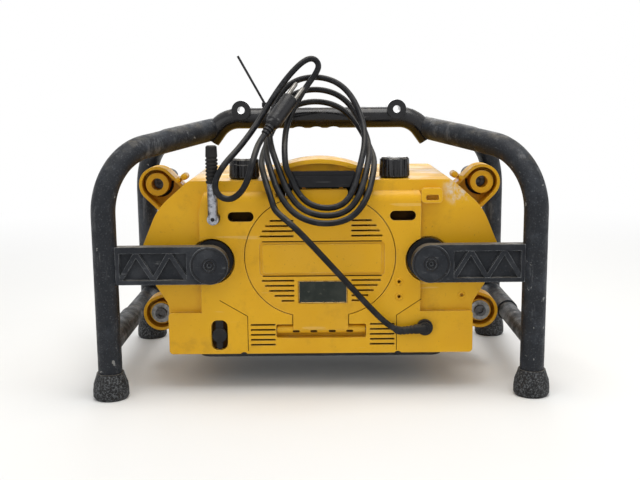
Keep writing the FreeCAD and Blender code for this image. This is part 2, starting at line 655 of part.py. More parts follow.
def contact_blades():
    """Three brass blades standing out of the terminal block."""
    back = BAY_BACK - BAY_WALL
    return [block((x - 0.4, x + 0.4), (back - 20, back - 3), (122.2, 133.8)) for x in (-12.0, 0.0, 12.0)]


def knob(sx):
    """A fluted control knob with a chamfered crown, on its spindle."""
    low = BODY_TOP + KNOB_GAP
    top = low + KNOB_H
    centre = V(sx * KNOB_X, KNOB_Y, 0)
    profile = [(0, SPINDLE_LOW), (SHAFT_R, SPINDLE_LOW), (SHAFT_R, low), (KNOB_R - 1, low), (KNOB_R, low + 1.5),
               (KNOB_R - 0.6, top - 2), (KNOB_R - 2.6, top), (0, top)]
    body = revolved(profile, centre)
    flutes = []
    for k in range(KNOB_FLUTES):
        turn = 2 * math.pi * k / KNOB_FLUTES
        foot_at = V(centre.x + (KNOB_R + 0.7) * math.cos(turn), centre.y + (KNOB_R + 0.7) * math.sin(turn), low + 2)
        flutes.append(rod(foot_at, foot_at + V(0, 0, KNOB_H), 1.7))
    return cut(body, flutes)


def control_pot(sx):
    """The rotary control under the housing's top that a knob's spindle turns in."""
    body = rod(V(sx * KNOB_X, KNOB_Y, 192), V(sx * KNOB_X, KNOB_Y, BODY_TOP - WALL - 0.2), 9.5)
    bore = rod(V(sx * KNOB_X, KNOB_Y, SPINDLE_LOW - 0.4), V(sx * KNOB_X, KNOB_Y, BODY_TOP), SHAFT_R + PIN_PLAY)
    return cut(body, [bore])


def antenna_base():
    """The pivot block on the service face that the antenna folds on."""
    y0, y1 = REAR_FACE - 0.2, ANTENNA_Y + 6.2
    disc = along_y(ANTENNA_X, ANTENNA_PIVOT_Z, 6.4, ANTENNA_Y + 2.2, y0)
    stem = along_y(ANTENNA_X, ANTENNA_PIVOT_Z, 2.4, y1 - 1, REAR_FACE + 7)
    peg = along_y(ANTENNA_X, ANTENNA_PIVOT_Z, 2.0, ANTENNA_Y - 6.6, ANTENNA_Y + 3)
    return fused([disc, stem, peg])


def antenna_ferrule():
    """The silver knuckle and ferrule of the antenna, turning on its peg."""
    ball = along_y(ANTENNA_X, ANTENNA_PIVOT_Z, 5.8, ANTENNA_Y - 5.4, ANTENNA_Y + 2.0)
    neck = rod(V(ANTENNA_X, ANTENNA_Y - 1.7, ANTENNA_PIVOT_Z), V(ANTENNA_X, ANTENNA_Y - 1.7, 219.0), 5.2)
    bore = along_y(ANTENNA_X, ANTENNA_PIVOT_Z, 2.0 + PIN_PLAY, ANTENNA_Y - 7, ANTENNA_Y + 3)
    flat = block((ANTENNA_X - 9, ANTENNA_X + 9), (ANTENNA_Y + 2.0, ANTENNA_Y + 9), (176, 191))
    return cut(fused([ball, neck]), [bore, flat])


def antenna_boot():
    """The black rubber aerial: a ribbed lower sleeve and a smooth tapered tip."""
    profile = [(0, 219.2), (5.9, 219.2)]
    ribs = 7
    pitch = 3.6
    for k in range(ribs):
        z = 220.0 + k * pitch
        profile += [(6.2, z), (6.2, z + pitch * 0.5), (5.3, z + pitch * 0.6), (5.3, z + pitch * 0.9)]
    profile += [(6.0, 246.0), (5.6, ANTENNA_TOP - 1.2), (4.4, ANTENNA_TOP), (0, ANTENNA_TOP)]
    return revolved(profile, V(ANTENNA_X, ANTENNA_Y - 1.7, 0))


def aux_socket():
    """The round socket behind the rubber flap."""
    barrel = along_y(-105, 60, 3.9, REAR_FACE + 4.2, CAVITY_REAR + 8)
    return cut(barrel, [along_y(-105, 60, 1.75, REAR_FACE + 3, CAVITY_REAR - 2)])


def aux_cover():
    """The rubber flap: a round cap with a pull tongue below and a strap above that ends in a bead."""
    y0, y1 = REAR_FACE - 1.8, REAR_FACE + 3.6
    cap = along_y(-105, 60, 7.4, y0, y1)
    tongue = rounded_box((-108.2, -101.8), (45.5, 58), 3.1, y0 + 0.8, y1 - 1.5)
    strap = rounded_box((-108.9, -101.1), (62, 74.0), 2.0, y0 + 1.8, y1 - 1.2)
    bead = rod(V(-108.9, REAR_FACE + 1.2, 74.0), V(-101.1, REAR_FACE + 1.2, 74.0), 1.2)
    return fused([cap, tongue, strap, bead])


def cord_gland():
    """The round grommet whose elbow turns the lead to run along the face."""
    x, z = GLAND
    flange = along_y(x, z, 8.2, REAR_FACE - 5, REAR_FACE - 0.1)
    boss = along_y(x, z, 6.2, REAR_FACE - 9.4, REAR_FACE - 4)
    stem = along_y(x, z, 5.8, REAR_FACE - 1, CAVITY_REAR + 4)
    start = point(LEAD_POINTS[0])
    elbow = rod(V(x, start.y, z), start, 5.0)
    return fused([flange, boss, stem, elbow])


def coil_node(count):
    """The place and direction of a quarter-turn node: left, then top left, top right and right, shrinking each turn.

    The lower nodes stand in front of the radio's shoulder and the upper ones in front of the handle, so each side
    leans back between them.
    """
    turn, quarter = divmod(count, len(COIL_NODES))
    place, change, way = COIL_NODES[quarter]
    return point(place) + point(change) * turn, point(way).normalize()


def biarc(p0, t0, p1, t1):
    """Two arcs that join a pair of points with given directions."""
    v = p1 - p0
    t = t0 + t1
    a = 2 * (1 - t0.dot(t1))
    b = 2 * v.dot(t)
    c = -v.dot(v)
    d = (-b + math.sqrt(b * b - 4 * a * c)) / (2 * a)
    q0 = p0 + t0 * d
    q1 = p1 - t1 * d
    joint = (q0 + q1) * 0.5
    edges = []
    for start, apex, end in ((p0, q0, joint), (joint, q1, p1)):
        chord_middle = (start + end) * 0.5
        cosine = (end - start).Length / 2 / d
        middle = chord_middle + (apex - chord_middle) * (cosine / (1 + cosine))
        edges.append(Part.Arc(start, middle, end).toShape())
    return edges


def coil_edges():
    """The coil's centre line, a biarc for each quarter turn."""
    edges = []
    for count in range(COIL_TURNS * len(COIL_NODES)):
        start, way = coil_node(count)
        end, end_way = coil_node(count + 1)
        edges += biarc(start, way, end, end_way)
    return edges


def tube_with_caps(edges, start, way):
    """A cord tube along edges, with what its section times its length comes to."""
    tube = swept(edges, start, way, CORD_R)
    length = sum(e.Length for e in edges)
    return tube, length


def least_gap(edges, apart):
    """The least clear distance of a tube to itself, between points more than a given length apart along it."""
    points = []
    for e in edges:
        steps = max(2, int(e.Length / 4))
        points += e.discretize(steps + 1)[:-1]
    run = [0.0]
    for a, b in zip(points, points[1:]):
        run.append(run[-1] + (b - a).Length)
    best = 1e9
    for i in range(len(points)):
        for j in range(i + 1, len(points)):
            if run[j] - run[i] > apart:
                best = min(best, (points[j] - points[i]).Length)
    return best - CORD_D


def mains_lead():
    """The lead in its three pieces: from the gland to the coil, the hung coil, and from the coil to the plug."""
    coil_first, first_way = coil_node(0)
    coil_last, last_way = coil_node(COIL_TURNS * len(COIL_NODES))
    lead = [point(p) for p in LEAD_POINTS]
    lead += [coil_first - first_way * JOIN_RUN, coil_first]
    tail = [coil_last, coil_last + last_way * JOIN_RUN] + [point(p) for p in TAIL_POINTS]
    plug_way = (PLUG_END - PLUG_START).normalize()
    tail += [PLUG_START - plug_way * JOIN_RUN, PLUG_START]
    lead_edges, lead_radii = route_edges(lead)
    tail_edges, tail_radii = route_edges(tail)
    turns = coil_edges()
    shapes = []
    total = 0.0
    for name, edges, start, way in (
        ("lead", lead_edges, lead[0], lead[1] - lead[0]),
        ("coil", turns, coil_first, first_way),
        ("tail", tail_edges, tail[0], tail[1] - tail[0]),
    ):
        tube, length = tube_with_caps(edges, start, way)
        wanted = math.pi * CORD_R ** 2 * length
        print("cord", name, "length", round(length, 1), "volume", round(tube.Volume), "wanted", round(wanted))
        total += length
        shapes.append(tube)
    print("cord total length", round(total, 1))
    print("lead radii", [round(r, 1) for r in lead_radii])
    print("tail radii", [round(r, 1) for r in tail_radii])
    print("coil radii", [round(e.Curve.Radius, 1) for e in turns])
    print("least gap", round(least_gap(lead_edges + turns + tail_edges, 45.0), 2))
    return shapes


def mains_plug():
    """The two-pin plug: a ribbed strain relief and a tapered round body."""
    way = (PLUG_END - PLUG_START).normalize()
    length = (PLUG_END - PLUG_START).Length
    profile = [(0, 0.1), (4.0, 0.1)]
    ribs = 3
    pitch = 3.4
    for k in range(ribs):
        h = 0.6 + k * pitch
        grow = 4.4 + k * 0.5
        profile += [(grow, h), (grow, h + pitch * 0.55), (grow - 0.9, h + pitch * 0.6), (grow - 0.9, h + pitch * 0.95)]
    profile += [(6.6, 12.5), (PLUG_R, 17.0), (PLUG_R, length - 1.0), (PLUG_R - 1.0, length), (0, length)]
    body = revolved(profile, PLUG_START, way)
    return cut(body, [rod(PLUG_END - way * 6 + s, PLUG_END + way * 2 + s, PLUG_PIN_R) for s in pin_shifts()])


def pin_shifts():
    """Where the two pins stand from the plug's axis."""
    way = (PLUG_END - PLUG_START).normalize()
    side = way.cross(Y_AXIS).normalize()
    return [side * (s * PIN_SPACING / 2) for s in SIDES]


def plug_pins():
    """Two round pins with domed tips."""
    way = (PLUG_END - PLUG_START).normalize()
    pins = []
    for shift in pin_shifts():
        profile = [(0, 0), (PLUG_PIN_R, 0), (PLUG_PIN_R, PIN_LENGTH + 4), (1.4, PIN_LENGTH + 6), (0, PIN_LENGTH + 6)]
        pins.append(revolved(profile, PLUG_END - way * 6 + shift, way))
    return pins


def cable_tie():
    """The tie round the handle, with its head on top and its long uncut tail standing up."""
    x = (TIE_X - TIE_W / 2, TIE_X + TIE_W / 2)
    inner = HANDLE_R + 0.1
    band = rod(V(x[0], 0, HANDLE_Z), V(x[1], 0, HANDLE_Z), inner + TIE_THICK)
    band = cut(band, [rod(V(x[0] - 1, 0, HANDLE_Z), V(x[1] + 1, 0, HANDLE_Z), inner)])
    top = HANDLE_Z + inner
    head = block((x[0] - 0.8, x[1] + 0.8), (-5.5, 1.0), (top + TIE_THICK / 2, top + 5.5))
    foot_at = V(TIE_X, -2.2, top + 4)
    return fused([band, head, rod(foot_at, foot_at + TIE_TAIL, TIE_THICK)])


def speaker_grille(sx):
    """A round black grille: concentric bars held by spokes, with a plain rim."""
    x = sx * SPEAKER_X
    disc = along_y(x, SPEAKER_Z, SPEAKER_R + 3, FRONT_FACE - 2.8, FRONT_FACE + 1.2)
    step = (SPEAKER_R - 8) / GRILLE_RINGS
    rings = []
    for k in range(GRILLE_RINGS):
        low = 7 + k * step
        ring = cut(along_y(x, SPEAKER_Z, low + step * 0.55, FRONT_FACE - 4, FRONT_FACE + 3),
                   [along_y(x, SPEAKER_Z, low, FRONT_FACE - 5, FRONT_FACE + 4)])
        rings.append(ring)
    spokes = []
    for k in range(GRILLE_SPOKES // 2):
        bar = block((x - SPEAKER_R, x + SPEAKER_R), (FRONT_FACE - 6, FRONT_FACE + 5), (SPEAKER_Z - 1.6, SPEAKER_Z + 1.6))
        bar.rotate(V(x, 0, SPEAKER_Z), Y_AXIS, 360 * k / GRILLE_SPOKES)
        spokes.append(bar)
    return solids_of(cut(disc, [cut(ring, spokes) for ring in rings]))


def speaker_basket(sx):
    """The pressed frame of a loudspeaker behind its grille."""
    x = sx * SPEAKER_X
    y0 = FRONT_FACE - WALL
    profile = [(44.0, 0), (54.0, 0), (54.0, -3.0), (46.0, -3.0), (24.0, -22.0), (24.0, -26.0), (20.0, -26.0),
               (20.0, -20.5)]
    return revolved(profile, V(x, y0 - 0.3, SPEAKER_Z), Y_AXIS)


def speaker_cone(sx):
    """The paper cone with its dust cap, hung in the basket."""
    profile = [(0, -11.0), (9.0, -13.5), (38.5, -1.2), (41.5, -1.2), (41.5, -2.0), (38.5, -2.4), (12.0, -15.5),
               (0, -15.5)]
    return revolved(profile, V(sx * SPEAKER_X, FRONT_FACE - WALL - 0.3, SPEAKER_Z), Y_AXIS)


def speaker_magnet(sx):
    """The ring magnet at the back of a loudspeaker."""
    y0 = FRONT_FACE - WALL - 0.3 - 26.1
    return along_y(sx * SPEAKER_X, SPEAKER_Z, 27.0, y0 - 12, y0)


def control_panel():
    """The black panel between the loudspeakers, with a display window and holes for the keys."""
    plate = rounded_box((-PANEL_HALF + 0.3, PANEL_HALF - 0.3), (PANEL_Z[0] + 0.3, PANEL_Z[1] - 0.3), 7.7,
                        FRONT_FACE - 4, FRONT_FACE + 1.5)
    window = rounded_box((-31, 31), (148, 190), 3, FRONT_FACE - 5, FRONT_FACE + 3)
    holes = [along_y(x, z, BUTTON_R + 0.3, FRONT_FACE - 5, FRONT_FACE + 3) for x, z in BUTTONS]
    return cut(plate, [window] + holes)


def display_lens():
    """The clear window over the display."""
    return rounded_box((-30.8, 30.8), (148.2, 189.8), 2.8, FRONT_FACE - 1.0, FRONT_FACE + 1.0)


def display_module():
    """The liquid crystal display behind the window."""
    return block((-33, 33), (FRONT_FACE - 9, FRONT_FACE - 4.2), (146, 192))


def panel_button(x, z):
    """A round key with a stem that travels through the panel."""
    cap = along_y(x, z, BUTTON_R, FRONT_FACE - 3, FRONT_FACE + 3.4)
    stem = along_y(x, z, 3.0, FRONT_FACE - 8.0, FRONT_FACE - 3)
    return fused([cap, stem])


def circuit_board():
    """The main board behind the control panel, with its taller parts."""
    y = FRONT_FACE - 12
    board = block((-40, 40), (y - 1.6, y), (64, 200))
    chips = [block((x, x + 14), (y - 5, y - 1.6), (z, z + 12)) for x in (-30.0, 6.0) for z in (80.0, 110.0, 150.0)]
    return fused([board] + chips)


def charger_transformer():
    """The laminated transformer of the built-in charger, with its winding."""
    core = block((-46, 4), (-12, 26), (BODY_BOTTOM + WALL + 0.1, 80))
    window = [block((x, x + 9), (-13, 27), (51, 73)) for x in (-38.0, -13.0)]
    core = cut(core, window)
    winding = cut(block((-37, -5), (-17, 31), (52, 72)), [core])
    return core, winding


def lug_bracket(sx, place):
    """A short tube from a far leg to the rubber pad behind a lug."""
    x, z = sx * place[0], place[1]
    low = LUG_BACK + 0.2 + PAD_THICK
    points = [V(x, low, z), V(x, 74, z), V(sx * LEG_X, LEG_Y, max(z, RAIL_Z + SLEEVE_R + 21))]
    tube = bent_tube(points, 30, 9.0)
    plate = along_y(x, z, 15.5, low, low + 5)
    bore = along_y(x, z, 4.2, low - 1, low + 22)
    end = leg(sx, 1, TUBE_R + MOULD_GAP)
    return solids_of(cut(fused([tube, plate]), [bore, end, far_hoop_room(sx)]))


def far_hoop_room(sx):
    """The far hoop's own tube, slightly enlarged, for coping a bracket to it."""
    end = V(sx * HOOP_END[0], HOOP_END[1], HOOP_END[2])
    points = [V(sx * LEG_X, LEG_Y, LEG_BOTTOM), V(sx * LEG_X, LEG_Y, HOOP_CORNER_Z), end]
    return bent_tube(points, HOOP_BEND_R, TUBE_R + MOULD_GAP)


def lug_places():
    """The four lugs as (side, place)."""
    return [(sx, place) for sx in SIDES for place in (UPPER_LUG, LOWER_LUG)]


def lug_pad(sx, place):
    """The rubber ring between a lug and its bracket."""
    x, z = sx * place[0], place[1]
    ring = along_y(x, z, PAD_R, LUG_BACK + 0.1, LUG_BACK + 0.1 + PAD_THICK)
    return cut(ring, [along_y(x, z, 4.2, LUG_BACK - 1, LUG_BACK + PAD_THICK + 2)])


def lug_washer(sx, place):
    """The wide steel washer under a lug's bolt head."""
    x, z = sx * place[0], place[1]
    disc = along_y(x, z, 11.0, LUG_FRONT + 1.2, LUG_FRONT + 2.9)
    return cut(disc, [along_y(x, z, 4.1, LUG_FRONT - 1, LUG_FRONT + 4)])


def lug_bolt(sx, place):
    """The bolt through a lug and its pad into the bracket; the upper heads are sunk deep in the bores."""
    x, z = sx * place[0], place[1]
    front = SUNK_HEAD_Y if place is UPPER_LUG else LUG_FRONT - 3.0
    head = along_y(x, z, 6.2, front, front + 4.1)
    socket = along_y(x, z, 2.8, front - 1, front + 2.5)
    shank = along_y(x, z, 4.0, front + 4, LUG_BACK + PAD_THICK + 18)
    return cut(fused([head, shank]), [socket])


def save(name, shape):
    """Writes one node and reports anything that isn't a sound solid."""
    shape = Part.makeCompound(shape) if isinstance(shape, list) else shape
    solids = shape.Solids
    if not solids or not all(s.isValid() for s in solids):
        print("NOT SOUND:", name)
    if len(solids) == 1:
        shape = solids[0]
    shape.exportStep("parts/" + name + ".step")


def cage_nodes():
    """The roll cage and what holds the radio in it."""
    for sy, depth in ((-1, "near"), (1, "far")):
        for sx, side in ((-1, "left"), (1, "right")):
            save("roll_bar_" + depth + "_" + side, roll_bar(sx, sy))
    save("carry_handle", carry_handle())
    save("leg_feet", [foot(sx, sy) for sx in SIDES for sy in SIDES])
    for sx, side in ((-1, "left"), (1, "right")):
        save("cage_arm_" + side, cage_arm(sx))
        save("lug_brackets_" + side, [lug_bracket(sx, place) for place in (UPPER_LUG, LOWER_LUG)])
    rails = [lower_rails(sx) for sx in SIDES]
    save("rail_sleeves", [sleeve for sleeve, spigot in rails])
    save("rail_spigots", [spigot for sleeve, spigot in rails])
    save("pivot_screws", [pivot_screw(sx) for sx in SIDES])
    save("pivot_bosses", [along_y(sx * PIVOT_X, ARM_Z, BOSS_R, ARM_BACK + 0.1, -99.1) for sx in SIDES])
    save("shock_washers", [along_y(sx * PIVOT_X, ARM_Z, SHOCK_R, -99.0, RECESS_FLOOR - 0.1) for sx in SIDES])
    save("lug_pads", [lug_pad(*at) for at in lug_places()])
    save("lug_washers", [lug_washer(sx, LOWER_LUG) for sx in SIDES])
    save("lug_bolts", [lug_bolt(*at) for at in lug_places()])


def radio_nodes():
    """The radio's housing, its door and everything on the service side and the top."""
    save("rear_housing", rear_housing())
    save("front_housing", front_housing())
    save("base_tray", base_tray())
    save("battery_door", battery_door())
    save("door_pins", door_pins())
    save("door_latch", door_latch())
    save("latch_pin", latch_pin())
    save("name_inlay", plate_in(NAME_RECESS, 0.8, 3.0, 3))
    save("label_plate", plate_in(LABEL_RECESS, 0.6, 0.6, 0.8))
    save("battery_bay", battery_bay())
    save("contact_block", contact_block())
    save("contact_blades", contact_blades())
    for sx, control in ((-1, "volume"), (1, "tuning")):
        save(control + "_knob", knob(sx))
    save("rotary_controls", [control_pot(sx) for sx in SIDES])
    save("antenna_base", antenna_base())
    save("antenna_ferrule", antenna_ferrule())
    save("antenna_boot", antenna_boot())
    save("aux_socket", aux_socket())
    save("aux_cover", aux_cover())
    save("cord_gland", cord_gland())


def speaker_nodes():
    """The loudspeaker side and the electronics."""
    save("speaker_grilles", [speaker_grille(sx) for sx in SIDES])
    save("speaker_baskets", [speaker_basket(sx) for sx in SIDES])
    save("speaker_cones", [speaker_cone(sx) for sx in SIDES])
    save("speaker_magnets", [speaker_magnet(sx) for sx in SIDES])
    save("control_panel", control_panel())
    save("display_lens", display_lens())
    save("display_module", display_module())
    for name, place in zip(BUTTON_NAMES, BUTTONS):
        save(name, panel_button(*place))
    save("circuit_board", circuit_board())
    core, winding = charger_transformer()
    save("transformer_core", core)
    save("transformer_winding", winding)


def cord_nodes():
    """The mains lead, its plug and the tie."""
    lead, coil, tail = mains_lead()
    save("power_lead", lead)
    save("power_lead_coil", coil)
    save("power_lead_tail", tail)
    save("mains_plug", mains_plug())
    save("plug_pins", plug_pins())
    save("cable_tie", cable_tie())


os.makedirs("parts", exist_ok=True)
cage_nodes()
radio_nodes()
speaker_nodes()
cord_nodes()
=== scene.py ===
"""Jobsite radio in a roll cage: finishes for every node, the mains lead and the housing's fine trim."""

import math

import bmesh
import bpy
import numpy as np
from mathutils import Matrix, Vector


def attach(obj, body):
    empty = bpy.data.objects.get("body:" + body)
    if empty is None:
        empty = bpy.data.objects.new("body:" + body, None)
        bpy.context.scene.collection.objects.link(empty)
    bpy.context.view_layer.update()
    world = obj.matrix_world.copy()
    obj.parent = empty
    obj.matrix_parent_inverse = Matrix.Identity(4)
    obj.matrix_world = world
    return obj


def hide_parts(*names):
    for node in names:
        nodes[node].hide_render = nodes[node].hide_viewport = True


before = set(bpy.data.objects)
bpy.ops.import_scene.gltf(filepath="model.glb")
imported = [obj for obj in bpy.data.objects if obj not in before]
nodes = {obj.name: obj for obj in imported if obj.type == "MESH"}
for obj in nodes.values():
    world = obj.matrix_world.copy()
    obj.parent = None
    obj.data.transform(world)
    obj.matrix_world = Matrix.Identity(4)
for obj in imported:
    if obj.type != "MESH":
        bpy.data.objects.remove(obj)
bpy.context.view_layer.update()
RADIO = "radio_and_cage"
DOOR = "battery_door"
MM = 0.001
SIDES = (-1, 1)

# Depths of the faces that trim lies on, in millimetres
REAR_FACE = -102.0
WING_FACE = -96.0
ARM_END_FACE = -126.5
SPEAKER_FACE = 98.0
PANEL_FACE = 99.5

# Colours, as linear light
YELLOW = (0.66, 0.345, 0.004)
YELLOW_LIGHT = (0.74, 0.415, 0.009)
YELLOW_DOOR_LIGHT = (0.66, 0.36, 0.020)
YELLOW_DIRTY = (0.36, 0.19, 0.010)
YELLOW_RUBBED = (0.82, 0.62, 0.24)
YELLOW_SCRATCHED = (0.80, 0.66, 0.38)
YELLOW_TORN = (0.62, 0.60, 0.58)
CAGE = (0.009, 0.011, 0.015)
CAGE_FADED = (0.032, 0.037, 0.046)
CAGE_SCUFF_AND_SHEEN = (0.125, 0.13, 0.138)
CAGE_CHIP = (0.26, 0.26, 0.25)
ARM = (0.013, 0.015, 0.019)
ARM_FADED = (0.034, 0.037, 0.043)
ARM_SCUFF = (0.15, 0.155, 0.16)
ARM_EDGE_WEAR_AND_HIGHLIGHT = (0.27, 0.28, 0.29)
GRIT = (0.10, 0.105, 0.115)
BLACK = (0.006, 0.006, 0.0075)
BLACK_HANDLED = (0.018, 0.019, 0.022)
BLACK_SCRATCHED = (0.20, 0.20, 0.20)
RUBBER_WORN = (0.17, 0.18, 0.19)
SHEATH = (0.006, 0.0065, 0.008)
SHEATH_HANDLED = (0.034, 0.034, 0.037)
SHEATH_NICKED = (0.15, 0.145, 0.135)
DUST = (0.23, 0.20, 0.15)
STEEL = (0.42, 0.42, 0.41)
SHADOW_LINE = (0.040, 0.018, 0.003)
SHADOW_DEEP = (0.020, 0.010, 0.003)
WHITE = (1.0, 1.0, 1.0)

# The torn patch on the right wing: its middle, and where it starts to fade and ends, in metres
SCUFF_PLACE = (0.143, -0.096, 0.2105)
SCUFF_FADE = (0.007, 0.021)


# Finishes

class Finish:
    """One node material: a principled shader and short calls for the nodes that feed it."""

    def __init__(self, name, **constants):
        self.material = bpy.data.materials.new(name)
        self.material.use_nodes = True
        self.tree = self.material.node_tree
        self.shader = self.tree.nodes["Principled BSDF"]
        self.place = self.tree.nodes.new("ShaderNodeTexCoord").outputs["Object"]
        for socket, value in constants.items():
            self.shader.inputs[socket.replace("_", " ")].default_value = value

    def node(self, kind, inputs=(), **settings):
        """A node with its settings and inputs; an input is a socket to link or a value."""
        made = self.tree.nodes.new(kind)
        for key, value in settings.items():
            setattr(made, key, value)
        for key, value in dict(inputs).items():
            self.feed(made.inputs[key], value)
        return made

    def feed(self, socket, value):
        """Links another node's socket to this one, or sets a number, vector or colour on it."""
        if isinstance(value, bpy.types.NodeSocket):
            self.tree.links.new(value, socket)
        elif isinstance(value, tuple) and len(value) == 3 and socket.type == "RGBA":
            socket.default_value = (*value, 1.0)
        else:
            socket.default_value = value

    def set(self, name, value):
        """Feeds one of the shader's own sockets."""
        self.feed(self.shader.inputs[name], value)

    def noise(self, scale, detail=4.0, rough=0.55, stretch=None):
        """Soft noise of a scale per metre, stretched along the axes when asked."""
        place = self.place
        if stretch:
            place = self.node("ShaderNodeMapping", {"Vector": place, "Scale": stretch}).outputs[0]
        inputs = {"Vector": place, "Scale": scale, "Detail": detail, "Roughness": rough}
        return self.node("ShaderNodeTexNoise", inputs).outputs["Fac"]

    def window(self, value, low, high, to_low=0.0, to_high=1.0):
        """A value taken smoothly from one range to another."""
        inputs = {0: value, 1: low, 2: high, 3: to_low, 4: to_high}
        return self.node("ShaderNodeMapRange", inputs, interpolation_type="SMOOTHSTEP").outputs[0]

    def patches(self, low, high, scale, detail=4.0, rough=0.55, stretch=None):
        """Noise cut smoothly between two levels, so that it stands in patches."""
        return self.window(self.noise(scale, detail, rough, stretch), low, high)

    def mix(self, factor, first, second):
        """One colour into another."""
        inputs = {0: factor, 6: first, 7: second}
        return self.node("ShaderNodeMix", inputs, data_type="RGBA").outputs[2]

    def times(self, a, b):
        """The product of two values."""
        return self.node("ShaderNodeMath", {0: a, 1: b}, operation="MULTIPLY").outputs[0]

    def lay(self, colour, mark, amount, over):
        """A colour with another laid over it where a mark stands, up to an amount."""
        return self.mix(self.times(mark, amount), colour, over)

    def upward(self, low=0.35, high=0.95):
        """One where the surface looks up, none where it stands."""
        normal = self.node("ShaderNodeNewGeometry").outputs["Normal"]
        height = self.node("ShaderNodeSeparateXYZ", {0: normal}).outputs["Z"]
        return self.window(height, low, high)

    def edges(self, radius, low=0.03, high=0.22):
        """One along sharp edges, where the rounded and the true normal part."""
        soft = self.node("ShaderNodeBevel", {"Radius": radius}, samples=4).outputs[0]
        true = self.node("ShaderNodeNewGeometry").outputs["Normal"]
        apart = self.node("ShaderNodeVectorMath", {0: soft, 1: true}, operation="DOT_PRODUCT")
        return self.window(apart.outputs["Value"], 1.0 - low, 1.0 - high)

    def roughness(self, low, high, scale, detail=4.0):
        """Roughness that wanders between two levels with noise of a scale per metre."""
        self.set("Roughness", self.window(self.noise(scale, detail), 0.3, 0.7, low, high))

    def relief(self, height, depth, round_edges=0.0):
        """Bump of a real depth in metres, over edges softened to a radius."""
        inputs = {"Height": height, "Distance": depth, "Strength": 1.0}
        if round_edges:
            inputs["Normal"] = self.node("ShaderNodeBevel", {"Radius": round_edges}, samples=4).outputs[0]
        self.set("Normal", self.node("ShaderNodeBump", inputs).outputs[0])


def yellow_plastic(name, dirt, light, scuff=False):
    """Grained moulded plastic: mottled, dusty on top, with dark marks, pale rubbed edges and scratches."""
    f = Finish(name, Specular_IOR_Level=0.30)
    mottle = f.patches(0.38, 0.66, 14.0, 5.0)
    colour = f.lay(YELLOW, mottle, 0.45, light)
    grime = f.patches(0.52, 0.74, 31.0, 9.0, 0.68)
    colour = f.lay(colour, grime, dirt, YELLOW_DIRTY)
    specks = f.patches(0.66, 0.74, 420.0, 3.0)
    colour = f.lay(colour, specks, 0.55, YELLOW_DIRTY)
    if scuff:
        away = f.node("ShaderNodeVectorMath", {0: f.place, 1: SCUFF_PLACE}, operation="DISTANCE")
        torn = f.patches(0.45, 0.62, 48.0, 8.0, 0.72, (1.0, 1.0, 0.7))
        near = f.window(away.outputs["Value"], *SCUFF_FADE, 1.0, 0.0)
        colour = f.lay(colour, near, torn, YELLOW_TORN)
    rubbed = f.times(f.edges(0.0012), f.patches(0.35, 0.62, 55.0, 6.0))
    colour = f.lay(colour, rubbed, 0.5, YELLOW_RUBBED)
    dusty = f.times(f.upward(), f.patches(0.42, 0.72, 60.0, 8.0, 0.7))
    colour = f.lay(colour, dusty, 0.30, DUST)
    scratches = f.patches(0.69, 0.72, 90.0, 2.0, 0.5, (0.12, 1.0, 1.4))
    f.set("Base Color", f.lay(colour, scratches, 0.16, YELLOW_SCRATCHED))
    f.roughness(0.34, 0.56, 38.0, 6.0)
    f.relief(f.noise(1700.0, 2.0), 0.00006, 0.0009)
    return f.material


def cage_coating():
    """Thick crackled black paint with grey streaks along the tubes that are partly scuffs and partly
    painted highlights.
    """
    f = Finish("cage_coating", Specular_IOR_Level=0.24)
    faded = f.patches(0.46, 0.68, 26.0, 8.0, 0.7)
    colour = f.mix(faded, CAGE, CAGE_FADED)
    grit = f.patches(0.55, 0.68, 520.0, 5.0, 0.7)
    colour = f.lay(colour, grit, 0.45, GRIT)
    # Painted highlight: the grey streaks along the tubes stand partly for scuffs and partly for the sheen
    # of light on them
    scuffs_and_sheen = f.patches(0.56, 0.70, 70.0, 8.0, 0.72, (1.0, 1.0, 0.25))
    colour = f.lay(colour, scuffs_and_sheen, 0.62, CAGE_SCUFF_AND_SHEEN)
    chips = f.patches(0.68, 0.72, 160.0, 3.0)
    colour = f.lay(colour, chips, 0.7, CAGE_CHIP)
    dusty = f.times(f.upward(), f.patches(0.44, 0.70, 48.0, 8.0, 0.7))
    f.set("Base Color", f.lay(colour, dusty, 0.42, DUST))
    f.set("Roughness", f.window(f.noise(85.0, 7.0), 0.32, 0.7, 0.36, 0.66))
    f.relief(f.noise(430.0, 7.0, 0.72), 0.00045, 0.0006)
    return f.material


def arm_plastic():
    """Dark grained plastic whose ribs and rims are rubbed grey; the pale edges are partly wear and partly
    painted highlights.
    """
    f = Finish("arm_plastic", Specular_IOR_Level=0.18)
    faded = f.patches(0.42, 0.68, 34.0, 7.0, 0.66)
    colour = f.mix(faded, ARM, ARM_FADED)
    # Painted highlight: the pale edges on the ribs and rims are partly rubbed wear and partly the light
    # catching them
    rubbed = f.times(f.edges(0.0011), f.patches(0.34, 0.58, 75.0, 7.0, 0.7))
    colour = f.lay(colour, rubbed, 0.9, ARM_EDGE_WEAR_AND_HIGHLIGHT)
    grit = f.patches(0.56, 0.70, 560.0, 5.0, 0.7)
    colour = f.lay(colour, grit, 0.4, GRIT)
    scuffs = f.patches(0.60, 0.72, 120.0, 6.0, 0.7, (0.4, 1.0, 1.0))
    colour = f.lay(colour, scuffs, 0.6, ARM_SCUFF)
    f.set("Base Color", f.lay(colour, f.upward(), 0.4, DUST))
    f.roughness(0.40, 0.68, 90.0, 6.0)
    f.relief(f.noise(1500.0, 3.0), 0.00008, 0.0007)
    return f.material


